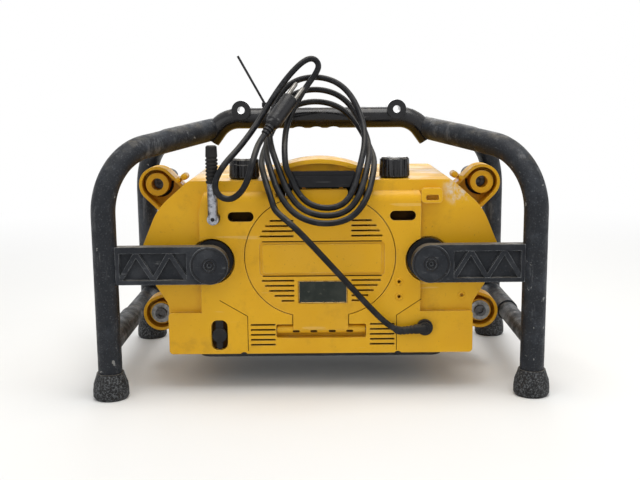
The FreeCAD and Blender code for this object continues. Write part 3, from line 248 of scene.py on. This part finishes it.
def smooth_black(name, low, high, dust=0.2, scratch=0.35, gloss=0.26):
    """Smooth black: low roughness broken by handling marks, a little dust on top and hair scratches."""
    f = Finish(name, Specular_IOR_Level=gloss)
    marks = f.patches(0.40, 0.70, 44.0, 8.0, 0.7)
    hair = f.patches(0.68, 0.72, 300.0, 2.0, 0.5, (0.06, 1.0, 1.0))
    colour = f.lay(BLACK, marks, 0.5, BLACK_HANDLED)
    colour = f.lay(colour, hair, scratch, BLACK_SCRATCHED)
    dusty = f.times(f.upward(), f.patches(0.44, 0.66, 130.0, 8.0, 0.75))
    f.set("Base Color", f.lay(colour, dusty, dust, DUST))
    f.set("Roughness", f.window(marks, 0.0, 1.0, low, high))
    f.relief(f.noise(900.0, 3.0), 0.00002, 0.0004)
    return f.material


def rubber(name, tone=0.011, dust=0.35, depth=0.00012, speckle=0.0):
    """Dull rubber with a fine skin, settled dust and, where asked, worn grey speckles."""
    f = Finish(name, Specular_IOR_Level=0.18)
    bloom = f.patches(0.40, 0.72, 50.0, 8.0, 0.7)
    colour = f.mix(bloom, (tone, tone, tone * 1.08), (tone * 2.6, tone * 2.55, tone * 2.5))
    if speckle:
        worn = f.patches(0.47, 0.62, 460.0, 6.0, 0.75)
        colour = f.lay(colour, worn, speckle, RUBBER_WORN)
    f.set("Base Color", f.lay(colour, f.upward(), dust, DUST))
    f.set("Roughness", f.window(bloom, 0.0, 1.0, 0.55, 0.82))
    f.relief(f.noise(1100.0, 4.0), depth, 0.0005)
    return f.material


def metal(name, colour, low, high, dark, turned=False):
    """Bare metal with dull patches; turned metal has its fine grain drawn out along Y."""
    f = Finish(name, Metallic=1.0)
    dull = f.patches(0.42, 0.68, 210.0, 8.0, 0.7)
    f.set("Base Color", f.mix(dull, colour, dark))
    f.roughness(low, high, 150.0, 6.0)
    stretch = (1.0, 0.05, 1.0) if turned else (1.0, 1.0, 1.0)
    f.relief(f.noise(2400.0, 3.0, 0.5, stretch), 0.00003, 0.0003)
    return f.material


def cord_sheath():
    """The lead's soft sheath: near black, satin, with grey handling marks and a fine skin."""
    f = Finish("cord_sheath", Specular_IOR_Level=0.16)
    marks = f.patches(0.46, 0.70, 65.0, 9.0, 0.72)
    colour = f.lay(SHEATH, marks, 0.75, SHEATH_HANDLED)
    nicks = f.patches(0.69, 0.73, 260.0, 3.0)
    colour = f.lay(colour, nicks, 0.5, SHEATH_NICKED)
    f.set("Base Color", f.lay(colour, f.upward(0.5, 1.0), 0.22, DUST))
    f.set("Roughness", f.window(marks, 0.0, 1.0, 0.32, 0.56))
    f.relief(f.noise(1300.0, 4.0), 0.00005)
    return f.material


def clear_lens():
    """The clear window over the display."""
    f = Finish("display_window", IOR=1.49, Transmission_Weight=1.0)
    f.set("Base Color", (0.90, 0.93, 0.92))
    f.set("Roughness", f.window(f.noise(240.0, 5.0), 0.55, 0.75, 0.02, 0.12))
    return f.material


def display_glass():
    """A grey-green liquid crystal face with a fine cell pattern."""
    f = Finish("display_face", Specular_IOR_Level=0.5)
    cells = f.node("ShaderNodeTexChecker", {"Vector": f.place, "Scale": 1300.0}).outputs["Fac"]
    colour = f.mix(f.patches(0.3, 0.7, 20.0), (0.20, 0.25, 0.20), (0.25, 0.30, 0.24))
    f.set("Base Color", f.lay(colour, cells, 0.18, (0.13, 0.16, 0.13)))
    f.set("Roughness", 0.22)
    f.relief(cells, 0.00001)
    return f.material


def board_mask():
    """Green solder mask with traces and pale pads."""
    f = Finish("board_mask", Specular_IOR_Level=0.55)
    cells = {"Vector": f.place, "Scale": 220.0}
    traces = f.node("ShaderNodeTexVoronoi", cells, feature="DISTANCE_TO_EDGE").outputs["Distance"]
    colour = f.mix(f.window(traces, 0.03, 0.08), (0.05, 0.20, 0.07), (0.012, 0.085, 0.028))
    pads = f.patches(0.68, 0.72, 700.0, 2.0)
    f.set("Base Color", f.mix(pads, colour, (0.5, 0.5, 0.46)))
    f.set("Roughness", 0.38)
    f.relief(traces, 0.00005)
    return f.material


def cone_paper():
    """Black pressed paper with fibres."""
    f = Finish("cone_paper", Specular_IOR_Level=0.2, Sheen_Weight=0.15)
    fibres = f.noise(900.0, 8.0, 0.75, (1.0, 0.4, 1.0))
    f.set("Base Color", f.mix(f.window(fibres, 0.4, 0.65), (0.018, 0.018, 0.019), (0.052, 0.050, 0.047)))
    f.set("Roughness", 0.86)
    f.relief(fibres, 0.00016)
    return f.material


def winding_tape():
    """Amber tape over copper wire, with the wires showing through as fine bands."""
    f = Finish("winding_tape", Specular_IOR_Level=0.55, Coat_Weight=0.3)
    bands = f.node("ShaderNodeTexWave", {"Vector": f.place, "Scale": 260.0, "Distortion": 0.6},
                   bands_direction="Z").outputs["Fac"]
    f.set("Base Color", f.mix(bands, (0.30, 0.10, 0.02), (0.52, 0.21, 0.05)))
    f.roughness(0.28, 0.5, 120.0)
    f.relief(bands, 0.00012)
    return f.material


def label_sheet():
    """The bare label: dark, softly mottled, rubbed pale in spots."""
    f = Finish("label_sheet", Specular_IOR_Level=0.22)
    rubbed = f.patches(0.56, 0.72, 190.0, 7.0, 0.7)
    colour = f.mix(f.patches(0.36, 0.68, 70.0, 5.0), (0.012, 0.017, 0.014), (0.028, 0.034, 0.028))
    f.set("Base Color", f.lay(colour, rubbed, 0.6, (0.15, 0.15, 0.11)))
    f.roughness(0.30, 0.52, 90.0)
    f.relief(f.noise(1500.0), 0.00003)
    return f.material


def shadow_groove():
    """The dark line of a seam or slot, browned by the yellow round it."""
    f = Finish("seam_shadow", Specular_IOR_Level=0.1)
    f.set("Base Color", f.mix(f.patches(0.4, 0.65, 160.0, 6.0), SHADOW_LINE, SHADOW_DEEP))
    f.set("Roughness", 0.9)
    return f.material


housing_yellow = yellow_plastic("housing_yellow", 0.45, YELLOW_LIGHT, scuff=True)
door_yellow = yellow_plastic("door_yellow", 0.38, YELLOW_DOOR_LIGHT)
cage_black = cage_coating()
arm_black = arm_plastic()
satin_black = smooth_black("satin_black", 0.30, 0.52)
handle_black = smooth_black("handle_black", 0.14, 0.40, dust=0.35, gloss=0.34)
knob_black = smooth_black("knob_black", 0.10, 0.34, dust=0.75, scratch=0.5, gloss=0.36)
latch_black = smooth_black("latch_black", 0.08, 0.26, scratch=0.2, gloss=0.2)
feet_rubber = rubber("feet_rubber", depth=0.0005, speckle=0.6)
pad_rubber = rubber("pad_rubber", tone=0.013, dust=0.2)
antenna_rubber = rubber("antenna_rubber", tone=0.009, dust=0.1, depth=0.00006)
screw_steel = metal("screw_steel", STEEL, 0.28, 0.5, (0.20, 0.19, 0.17))
washer_steel = metal("washer_steel", (0.30, 0.305, 0.31), 0.32, 0.55, (0.13, 0.125, 0.115))
bolt_black = metal("bolt_black", (0.11, 0.11, 0.115), 0.34, 0.55, (0.035, 0.034, 0.033))
ferrule_metal = metal("ferrule_metal", (0.36, 0.37, 0.40), 0.24, 0.46, (0.055, 0.06, 0.075), turned=True)
pin_metal = metal("pin_metal", (0.21, 0.20, 0.185), 0.30, 0.50, (0.10, 0.095, 0.085))
contact_brass = metal("contact_brass", (0.72, 0.50, 0.20), 0.18, 0.36, (0.48, 0.32, 0.13))
magnet_zinc = metal("magnet_zinc", (0.42, 0.42, 0.43), 0.34, 0.55, (0.24, 0.24, 0.25))
sheath = cord_sheath()
seam_dark = shadow_groove()

FINISHES = {
    housing_yellow: "rear_housing front_housing",
    door_yellow: "battery_door name_inlay",
    cage_black: "roll_bar_near_left roll_bar_near_right roll_bar_far_left roll_bar_far_right"
                " rail_sleeves rail_spigots lug_brackets_left lug_brackets_right",
    arm_black: "cage_arm_left cage_arm_right base_tray pivot_screws",
    handle_black: "carry_handle",
    knob_black: "volume_knob tuning_knob",
    latch_black: "door_latch",
    feet_rubber: "leg_feet",
    pad_rubber: "shock_washers lug_pads aux_cover cord_gland",
    antenna_rubber: "antenna_boot",
    satin_black: "pivot_bosses battery_bay contact_block antenna_base aux_socket speaker_baskets"
                 " control_panel rotary_controls button_band button_clock button_seek_down"
                 " button_seek_up button_power cable_tie mains_plug speaker_grilles",
    screw_steel: "door_pins latch_pin",
    bolt_black: "lug_bolts",
    washer_steel: "lug_washers",
    ferrule_metal: "antenna_ferrule",
    pin_metal: "plug_pins",
    contact_brass: "contact_blades",
    magnet_zinc: "speaker_magnets transformer_core",
    sheath: "power_lead power_lead_coil power_lead_tail",
    clear_lens(): "display_lens",
    display_glass(): "display_module",
    board_mask(): "circuit_board",
    cone_paper(): "speaker_cones",
    winding_tape(): "transformer_winding",
    label_sheet(): "label_plate",
}
for finish, names in FINISHES.items():
    for name in names.split():
        slots = nodes[name].material_slots
        if not slots:
            nodes[name].data.materials.append(finish)
        for held in slots:
            held.material = finish


# Surfaces

STRIP_LIFT = 0.02
PILL_STEPS = 28
PILL_PROFILE = ((1.0, 0.0), (1.0, 0.55), (0.93, 0.9), (0.8, 1.0), (0.3, 1.0))
SLEEVE_STEPS = 32
SLEEVE_WALL = 0.12


def skin(points, close_u=False, caps=False):
    """Vertices and faces of a grid of points whose rows close on themselves; where asked, the last row
    joins the first, or both end rows are capped."""
    rows, columns = points.shape[:2]
    index = np.arange(rows * columns).reshape(rows, columns)
    u = np.vstack([index, index[:1]]) if close_u else index
    uv = np.hstack([u, u[:, :1]])
    quads = np.stack([uv[:-1, :-1], uv[:-1, 1:], uv[1:, 1:], uv[1:, :-1]], axis=-1).reshape(-1, 4)
    faces = quads.tolist()
    if caps:
        faces += [index[0][::-1].tolist(), index[-1].tolist()]
    return points.reshape(-1, 3), faces


def outward(mesh):
    """Turns a mesh's faces so that each closed part encloses a positive volume."""
    work = bmesh.new()
    work.from_mesh(mesh)
    bmesh.ops.recalc_face_normals(work, faces=work.faces)
    work.to_mesh(mesh)
    work.free()


def piece(name, parts, finish, body):
    """One smooth mesh object, in metres, from parts given in millimetres; its faces are turned outwards."""
    vertices, faces, start = [], [], 0
    for points, quads in parts:
        vertices.append(points)
        faces += [[i + start for i in quad] for quad in quads]
        start += len(points)
    mesh = bpy.data.meshes.new(name)
    mesh.from_pydata((np.vstack(vertices) * MM).tolist(), [], faces)
    mesh.polygons.foreach_set("use_smooth", [True] * len(mesh.polygons))
    made = bpy.data.objects.new(name, mesh)
    bpy.context.scene.collection.objects.link(made)
    mesh.materials.append(finish)
    outward(mesh)
    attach(made, body)


def tube(path, radii, around):
    """A tube on a path: a circle in each cut, begun on one fixed direction made square to the path."""
    path = np.asarray(path, float)
    radii = np.broadcast_to(np.asarray(radii, float), len(path))
    way = np.gradient(path, axis=0)
    way /= np.linalg.norm(way, axis=1)[:, None]
    reference = np.array([0.0, 0.0, 1.0]) if abs(way[0, 2]) < 0.9 else np.array([1.0, 0.0, 0.0])
    side = reference - way * (way @ reference)[:, None]
    side /= np.linalg.norm(side, axis=1)[:, None]
    up = np.cross(way, side)
    turn = np.linspace(0, 2 * np.pi, around, endpoint=False)
    circle = np.cos(turn)[None, :, None] * side[:, None] + np.sin(turn)[None, :, None] * up[:, None]
    return skin(path[:, None] + circle * radii[:, None, None], caps=True)


def ring(centre, radius, thick, steps=72, around=8):
    """A ring round the Y axis: a small circle carried round a large one."""
    u = np.linspace(0, 2 * np.pi, steps, endpoint=False)[:, None]
    v = np.linspace(0, 2 * np.pi, around, endpoint=False)[None, :]
    reach = radius + thick * np.cos(v)
    x = centre[0] + reach * np.cos(u)
    z = centre[2] + reach * np.sin(u)
    y = centre[1] + thick * np.sin(v) + 0 * u
    return skin(np.stack([x, y, z], axis=-1), close_u=True)


def strip(line, half_width, rise, depth, toward=-1.0):
    """A thin line laid on a flat face: a low half-round section carried along a path of (x, z) points."""
    line = np.asarray(line, float)
    way = np.gradient(line, axis=0)
    way /= np.linalg.norm(way, axis=1)[:, None]
    side = np.stack([-way[:, 1], way[:, 0]], axis=-1)
    turn = np.linspace(0, np.pi, 5)
    shift = side[:, None] * (half_width * np.cos(turn))[None, :, None]
    y = depth + toward * (rise * np.sin(turn) + STRIP_LIFT)
    points = np.zeros((len(line), len(turn), 3))
    points[..., 0] = line[:, None, 0] + shift[..., 0]
    points[..., 2] = line[:, None, 1] + shift[..., 1]
    points[..., 1] = y[None, :]
    return skin(points, caps=True)


def along(points, step=3.0):
    """A polyline with points added about a step apart."""
    points = np.asarray(points, float)
    run = np.concatenate([[0.0], np.cumsum(np.linalg.norm(np.diff(points, axis=0), axis=1))])
    at = np.unique(np.concatenate([run, np.linspace(0, run[-1], max(2, int(run[-1] / step) + 1))]))
    return np.stack([np.interp(at, run, points[:, k]) for k in range(points.shape[1])], axis=-1)


def rectangle(left, right, bottom, top):
    """The outline of a rectangle as (x, z) points, from its lower left corner round and back to it."""
    return along([(left, bottom), (right, bottom), (right, top), (left, top), (left, bottom)], 2.0)


def pill(x, z, half_w, half_h, depth, rise):
    """A low pillow with rounded ends: an outline of a superellipse drawn in to a flat top."""
    turn = np.linspace(0, 2 * np.pi, PILL_STEPS, endpoint=False)
    c, s = np.cos(turn), np.sin(turn)
    across = half_w * np.sign(c) * np.abs(c) ** 0.5
    upright = half_h * np.sign(s) * np.abs(s) ** 0.5
    rows = []
    for shrink, height in PILL_PROFILE:
        row = np.zeros((PILL_STEPS, 3))
        row[:, 0] = x + across * shrink
        row[:, 2] = z + upright * shrink
        row[:, 1] = depth - rise * height
        rows.append(row)
    return skin(np.stack(rows), caps=True)


def sleeve(x, z, half_w, half_h, front, back):
    """A thin lining of a slot with round ends: two stadium outlines, one inside the other, joined
    front and back."""
    turn = np.linspace(0, 2 * np.pi, SLEEVE_STEPS, endpoint=False)
    c, s = np.cos(turn), np.sin(turn)
    rows = []
    for inset, depth in ((0.0, front), (0.0, back), (SLEEVE_WALL, back), (SLEEVE_WALL, front)):
        row = np.zeros((SLEEVE_STEPS, 3))
        row[:, 0] = x + np.sign(np.round(c, 6)) * (half_w - half_h) + (half_h - inset) * c
        row[:, 2] = z + (half_h - inset) * s
        row[:, 1] = depth
        rows.append(row)
    return skin(np.stack(rows), close_u=True)


# Mains lead, by the same points as the solid's

LEAD_POINTS = (
    (97.0, -108.5, 66.4), (80.0, -108.5, 64.6), (66.0, -111.5, 74.5), (49.5, -117.0, 92.5),
    (28.5, -125.0, 117.5), (7.0, -134.5, 143.0), (-9.0, -141.5, 162.0), (-22.0, -142.5, 176.0),
    (-33.5, -136.5, 185.5),
)
COIL_TURNS = 3
COIL_NODES = (
    ((-47.5, -124.0, 203.0), (8.0, 3.0, 3.0), (-0.3, 0.36, 0.88)),
    ((-47.0, -27.5, 275.0), (1.5, -9.0, 14.0), (0.34, 0.4, 0.84)),
    ((41.0, -27.5, 275.0), (-2.5, -9.0, 14.0), (0.4, -0.4, -0.82)),
    ((47.0, -124.0, 203.0), (-7.0, 3.0, 3.0), (-0.25, -0.4, -0.88)),
)
COIL_SLOPE = 1.32
POINTS_A_QUARTER = 4
TAIL_POINTS = (
    (-33.5, -109.5, 233.0), (-35.0, -101.0, 248.0), (-35.0, -87.0, 260.0), (-34.0, -73.0, 271.0),
    (-30.0, -63.0, 284.0), (-23.0, -57.0, 298.0), (-13.0, -51.0, 314.0), (-3.0, -47.5, 327.0),
    (1.0, -45.5, 336.0), (-4.5, -45.5, 343.5), (-14.5, -48.0, 341.5), (-29.0, -54.0, 328.0),
    (-45.0, -62.0, 307.0), (-61.0, -76.0, 280.0), (-79.0, -98.0, 255.0), (-96.0, -118.0, 237.0),
    (-104.5, -122.5, 220.0), (-100.5, -122.5, 207.5), (-89.0, -123.0, 203.5), (-78.0, -127.0, 210.5),
    (-70.5, -132.5, 223.0), (-66.5, -131.0, 236.5), (-63.5, -119.0, 249.0),
)
PLUG_START = np.array((-54.5, -97.0, 267.0))
PLUG_END = np.array((-29.0, -72.0, 302.0))
JOIN_RUN = 11.0
CORD_D = 6.3


def unit(v):
    """A vector made one long."""
    v = np.asarray(v, float)
    return v / np.linalg.norm(v)


def coil_node(count):
    """The place and direction of a quarter-turn node; its place moves a little each turn."""
    turn, quarter = divmod(count, len(COIL_NODES))
    place, change, way = COIL_NODES[quarter]
    return np.array(place) + np.array(change) * turn, unit(way)


def coil_points():
    """Four points a quarter turn on a cubic through each pair of nodes, whose directions are its slopes,
    each as long as the gap between the pair times a fixed number."""
    t = np.arange(POINTS_A_QUARTER)[:, None] / POINTS_A_QUARTER
    rows = []
    for count in range(COIL_TURNS * len(COIL_NODES)):
        (p0, w0), (p1, w1) = coil_node(count), coil_node(count + 1)
        lift = np.linalg.norm(p1 - p0) * COIL_SLOPE
        rows.append((2 * t ** 3 - 3 * t ** 2 + 1) * p0 + (t ** 3 - 2 * t ** 2 + t) * lift * w0
                    + (3 * t ** 2 - 2 * t ** 3) * p1 + (t ** 3 - t ** 2) * lift * w1)
    return np.vstack(rows)


first, first_way = coil_node(0)
last, last_way = coil_node(COIL_TURNS * len(COIL_NODES))
plug_way = unit(PLUG_END - PLUG_START)
route = np.vstack([
    LEAD_POINTS, first - first_way * JOIN_RUN, coil_points(), last, last + last_way * JOIN_RUN,
    TAIL_POINTS, PLUG_START - plug_way * JOIN_RUN, PLUG_START,
]) * MM
curve = bpy.data.curves.new("mains_lead", "CURVE")
curve.dimensions = "3D"
curve.bevel_depth = CORD_D / 2 * MM
curve.bevel_resolution = 5
curve.resolution_u = 10
curve.use_fill_caps = True
spline = curve.splines.new("NURBS")
spline.points.add(len(route) - 1)
spline.points.foreach_set("co", np.hstack([route, np.ones((len(route), 1))]).ravel())
spline.order_u = 3
spline.use_endpoint_u = True
curve.materials.append(sheath)
lead = bpy.data.objects.new("mains_lead", curve)
bpy.context.scene.collection.objects.link(lead)
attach(lead, RADIO)
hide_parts("power_lead", "power_lead_coil", "power_lead_tail")

# The tapered relief where the lead leaves its elbow: ribs that shrink to the sheath
RELIEF_START = (101.0, -108.5, 66.8)
RELIEF_END = (76.5, -109.2, 67.0)
RELIEF_R = 4.7
RELIEF_TAPER = 1.2
RELIEF_RIB = 0.22
RELIEF_RIBS = 7
relief_line = along([RELIEF_START, *LEAD_POINTS[:2], RELIEF_END], 0.8)
relief_at = np.linspace(0, 1, len(relief_line))
relief_ribs = RELIEF_RIB * np.sign(np.sin(relief_at * 2 * np.pi * RELIEF_RIBS))
relief_tube = tube(relief_line, RELIEF_R - RELIEF_TAPER * relief_at + relief_ribs, 28)
piece("lead_strain_relief", [relief_tube], pad_rubber, RADIO)

# Trim of the service side, in millimetres

SEAM_X = (-75.5, 78.5)
SEAM_BEND_Z = 80.0
SEAM_FOOT_Z = 43.0
SEAM_CORNER_X = 104.0
SEAM_CORNER_Z = 97.0
side_seams = []
for side, x in zip(SIDES, SEAM_X):
    for end in ((x, SEAM_FOOT_Z), (side * SEAM_CORNER_X, SEAM_CORNER_Z)):
        side_seams.append(strip(along([(x, SEAM_BEND_Z), end]), 0.35, 0.12, REAR_FACE))
piece("case_seams", side_seams, seam_dark, RADIO)

NAME_LINE_X = (-59.0, 63.0)
NAME_LINE_Z = (158.0, 122.0)
door_lines = [strip(along([(x, z) for x in NAME_LINE_X]), 0.55, 0.16, REAR_FACE) for z in NAME_LINE_Z]
piece("name_place_lines", door_lines, seam_dark, DOOR)

# The barrel round the door's hinge pins, and its four slots, drawn as dark pills of painted shade
HINGE_Y = -97.0
HINGE_Z = 65.0
BARREL_X = (-45.3, -44.9, -30.0, 0.0, 30.0, 45.9, 46.3)
BARREL_R = 4.35
BARREL_END_R = 3.7
HINGE_SLOT_X = (-25.5, -7.2, 11.9, 30.0)
HINGE_SLOT_Z = 63.4
HINGE_SLOT_FLOOR = HINGE_Y - BARREL_R + 0.5
barrel_line = [(x, HINGE_Y, HINGE_Z) for x in BARREL_X]
barrel_radii = [BARREL_END_R] + [BARREL_R] * (len(BARREL_X) - 2) + [BARREL_END_R]
piece("hinge_barrel", [tube(barrel_line, barrel_radii, 40)], door_yellow, DOOR)
# Painted shade: dark pills stand for the shade inside the four slots
hinge_slot_shade = [pill(x, HINGE_SLOT_Z, 3.6, 1.3, HINGE_SLOT_FLOOR, 0.6) for x in HINGE_SLOT_X]
piece("hinge_slot_shade", hinge_slot_shade, seam_dark, DOOR)

LABEL_EDGE = (-22.0, 27.0, 93.8, 116.2)
LABEL_FACE = REAR_FACE + 0.8
label_frame = strip(rectangle(*LABEL_EDGE), 0.4, 0.12, LABEL_FACE)
piece("label_border", [label_frame], contact_brass, DOOR)

PIVOT_X = 111.0
PIVOT_Z = 138.0
PIVOT_RINGS = ((17.3, 0.55), (7.0, 0.45), (3.9, 0.45))
arm_rings = []
for side in SIDES:
    for radius, thick in PIVOT_RINGS:
        arm_rings.append(ring((side * PIVOT_X, ARM_END_FACE, PIVOT_Z), radius, thick))
piece("pivot_rings", arm_rings, satin_black, RADIO)

SCREW_COLUMNS = ((81.0, REAR_FACE), (146.5, WING_FACE))
SCREW_Z = (99.5, 115.0)
screw_mouths = [ring((x, face, z), 3.1, 0.95, 40) for x, face in SCREW_COLUMNS for z in SCREW_Z]
piece("screw_mouths", screw_mouths, housing_yellow, RADIO)

# Painted shade: dark linings in the two grip slots, on the floors of the rows of vents and at the back of
# the cord hook's recess stand in for the shade inside them
GRIP_X = (-80.5, 84.5)
GRIP_Z = 183.8
GRIP_FRONT = -101.2
GRIP_BACK = -91.05
VENT_X = (-59.75, 63.75)
VENT_Z = 49.45
VENT_PITCH = 5.3
VENTS = 5
VENT_FLOOR = REAR_FACE + 3.48
HOOK_FLOOR = REAR_FACE + 3.95
slot_painted_shade = []
for x in GRIP_X:
    slot_painted_shade.append(sleeve(x, GRIP_Z, 13.1, 4.8, GRIP_FRONT, GRIP_BACK))
    slot_painted_shade.append(pill(x, GRIP_Z, 13.0, 4.8, GRIP_BACK, 0.2))
for x in VENT_X:
    for row in range(VENTS):
        slot_painted_shade.append(pill(x, VENT_Z + VENT_PITCH * row, 12.7, 0.93, VENT_FLOOR, 2.2))
slot_painted_shade.append(pill(-105.0, 60.25, 8.2, 15.4, HOOK_FLOOR, 0.15))
piece("slot_painted_shade", slot_painted_shade, seam_dark, RADIO)

LIPS = ((146.0, 219.0, 3.6), (152.5, 215.6, 3.0))
LIP_Y = (-41.0, -40.4, -38.0, -22.0, -19.6, -19.0)
LIP_SHARES = np.array([0.55, 0.85, 1.0, 1.0, 0.85, 0.55])
shoulder_lips = []
for side in SIDES:
    for x, z, radius in LIPS:
        shoulder_lips.append(tube([(side * x, y, z) for y in LIP_Y], radius * LIP_SHARES, 20))
piece("shoulder_lips", shoulder_lips, housing_yellow, RADIO)

GLAND_END = (107.5, REAR_FACE - 9.4, 67.5)
gland_rings = [ring(GLAND_END, radius, 0.4, 40) for radius in (4.9, 2.9)]
piece("gland_rings", gland_rings, pad_rubber, RADIO)

# Trim of the loudspeaker side

SPEAKER_X = 103.0
SPEAKER_Z = 134.0
grille_rims = []
for radius, thick, lift, steps in ((50.4, 1.1, 1.0, 96), (5.2, 0.8, 1.2, 48)):
    for side in SIDES:
        grille_rims.append(ring((side * SPEAKER_X, SPEAKER_FACE + lift, SPEAKER_Z), radius, thick, steps))
piece("grille_rims", grille_rims, satin_black, RADIO)

WINDOW_EDGE = (-31.0, 31.0, 148.0, 190.0)
window_rim = strip(rectangle(*WINDOW_EDGE), 0.9, 0.35, PANEL_FACE, 1.0)
piece("window_rim", [window_rim], latch_black, RADIO)


# Stage, light and camera, in metres

LAMP_AIM = (0.0, 0.0, 0.15)
SKY = 0.55
FLOOR_HALF = 9.0
FLOOR_FADE = (0.45, 1.5)
CAMERA_PLACE = (0.0, -1.030, 0.313)
LENS_MM = 51.86
SENSOR_MM = 36.0
PITCH = math.radians(90.0 - 9.4)
ROLL = math.radians(-0.5)


def area_light(name, place, size, power, tone=WHITE):
    """A soft square lamp that looks at the middle of the radio."""
    data = bpy.data.lights.new(name, "AREA")
    data.shape = "SQUARE"
    data.size = size
    data.energy = power
    data.color = tone
    lamp = bpy.data.objects.new(name, data)
    lamp.location = place
    lamp.rotation_euler = (Vector(LAMP_AIM) - Vector(place)).to_track_quat("-Z", "Y").to_euler()
    bpy.context.scene.collection.objects.link(lamp)


def seen_directly(node_tree):
    """One for rays from the camera and those that metal and glass pass on."""
    rays = node_tree.nodes.new("ShaderNodeLightPath")
    value = rays.outputs["Is Camera Ray"]
    for kind in ("Is Glossy Ray", "Is Transmission Ray"):
        larger = node_tree.nodes.new("ShaderNodeMath")
        larger.operation = "MAXIMUM"
        node_tree.links.new(value, larger.inputs[0])
        node_tree.links.new(rays.outputs[kind], larger.inputs[1])
        value = larger.outputs[0]
    return value


area_light("overhead_softbox", (0.10, -0.25, 1.45), 1.0, 15.0, (1.0, 0.985, 0.96))
area_light("front_fill", (-0.95, -1.35, 0.75), 1.2, 4.0)
area_light("right_fill", (1.2, -0.7, 0.6), 0.9, 2.5)
area_light("back_fill", (0.0, 1.5, 0.9), 1.2, 8.0)

world = bpy.data.worlds.new("studio")
bpy.context.scene.world = world
world.use_nodes = True
sky_tree = world.node_tree
background = sky_tree.nodes["Background"]
background.inputs["Color"].default_value = (*WHITE, 1.0)
level = sky_tree.nodes.new("ShaderNodeMapRange")
level.inputs["To Min"].default_value = SKY
level.inputs["To Max"].default_value = 1.0
sky_tree.links.new(seen_directly(sky_tree), level.inputs["Value"])
sky_tree.links.new(level.outputs[0], background.inputs["Strength"])

# The floor turns to plain white away from the radio for rays that see it directly
floor = Finish("studio_floor", Specular_IOR_Level=0.2)
floor.set("Base Color", floor.mix(floor.noise(3.0), (0.80, 0.80, 0.79), (0.83, 0.83, 0.82)))
floor.set("Roughness", 0.75)
reach = floor.node("ShaderNodeVectorMath", {0: floor.place}, operation="LENGTH").outputs["Value"]
fade = floor.times(floor.window(reach, *FLOOR_FADE), seen_directly(floor.tree))
white = floor.node("ShaderNodeEmission", {"Color": WHITE, "Strength": 1.0})
blend = floor.node("ShaderNodeMixShader", {0: fade, 1: floor.shader.outputs[0], 2: white.outputs[0]})
floor_output = next(n for n in floor.tree.nodes if n.type == "OUTPUT_MATERIAL")
floor.tree.links.new(blend.outputs[0], floor_output.inputs["Surface"])
corners = [(x * FLOOR_HALF, y * FLOOR_HALF, 0.0) for x, y in ((-1, -1), (1, -1), (1, 1), (-1, 1))]
floor_mesh = bpy.data.meshes.new("studio_floor")
floor_mesh.from_pydata(corners, [], [(0, 1, 2, 3)])
floor_mesh.materials.append(floor.material)
studio_floor = bpy.data.objects.new("studio_floor", floor_mesh)
bpy.context.scene.collection.objects.link(studio_floor)

camera_data = bpy.data.cameras.new("camera")
camera_data.lens = LENS_MM
camera_data.sensor_width = SENSOR_MM
camera = bpy.data.objects.new("camera", camera_data)
camera.matrix_world = (Matrix.Translation(CAMERA_PLACE) @ Matrix.Rotation(PITCH, 4, "X")
                       @ Matrix.Rotation(ROLL, 4, "Z"))
bpy.context.scene.collection.objects.link(camera)
bpy.context.scene.camera = camera
bpy.context.scene.view_settings.view_transform = "Standard"
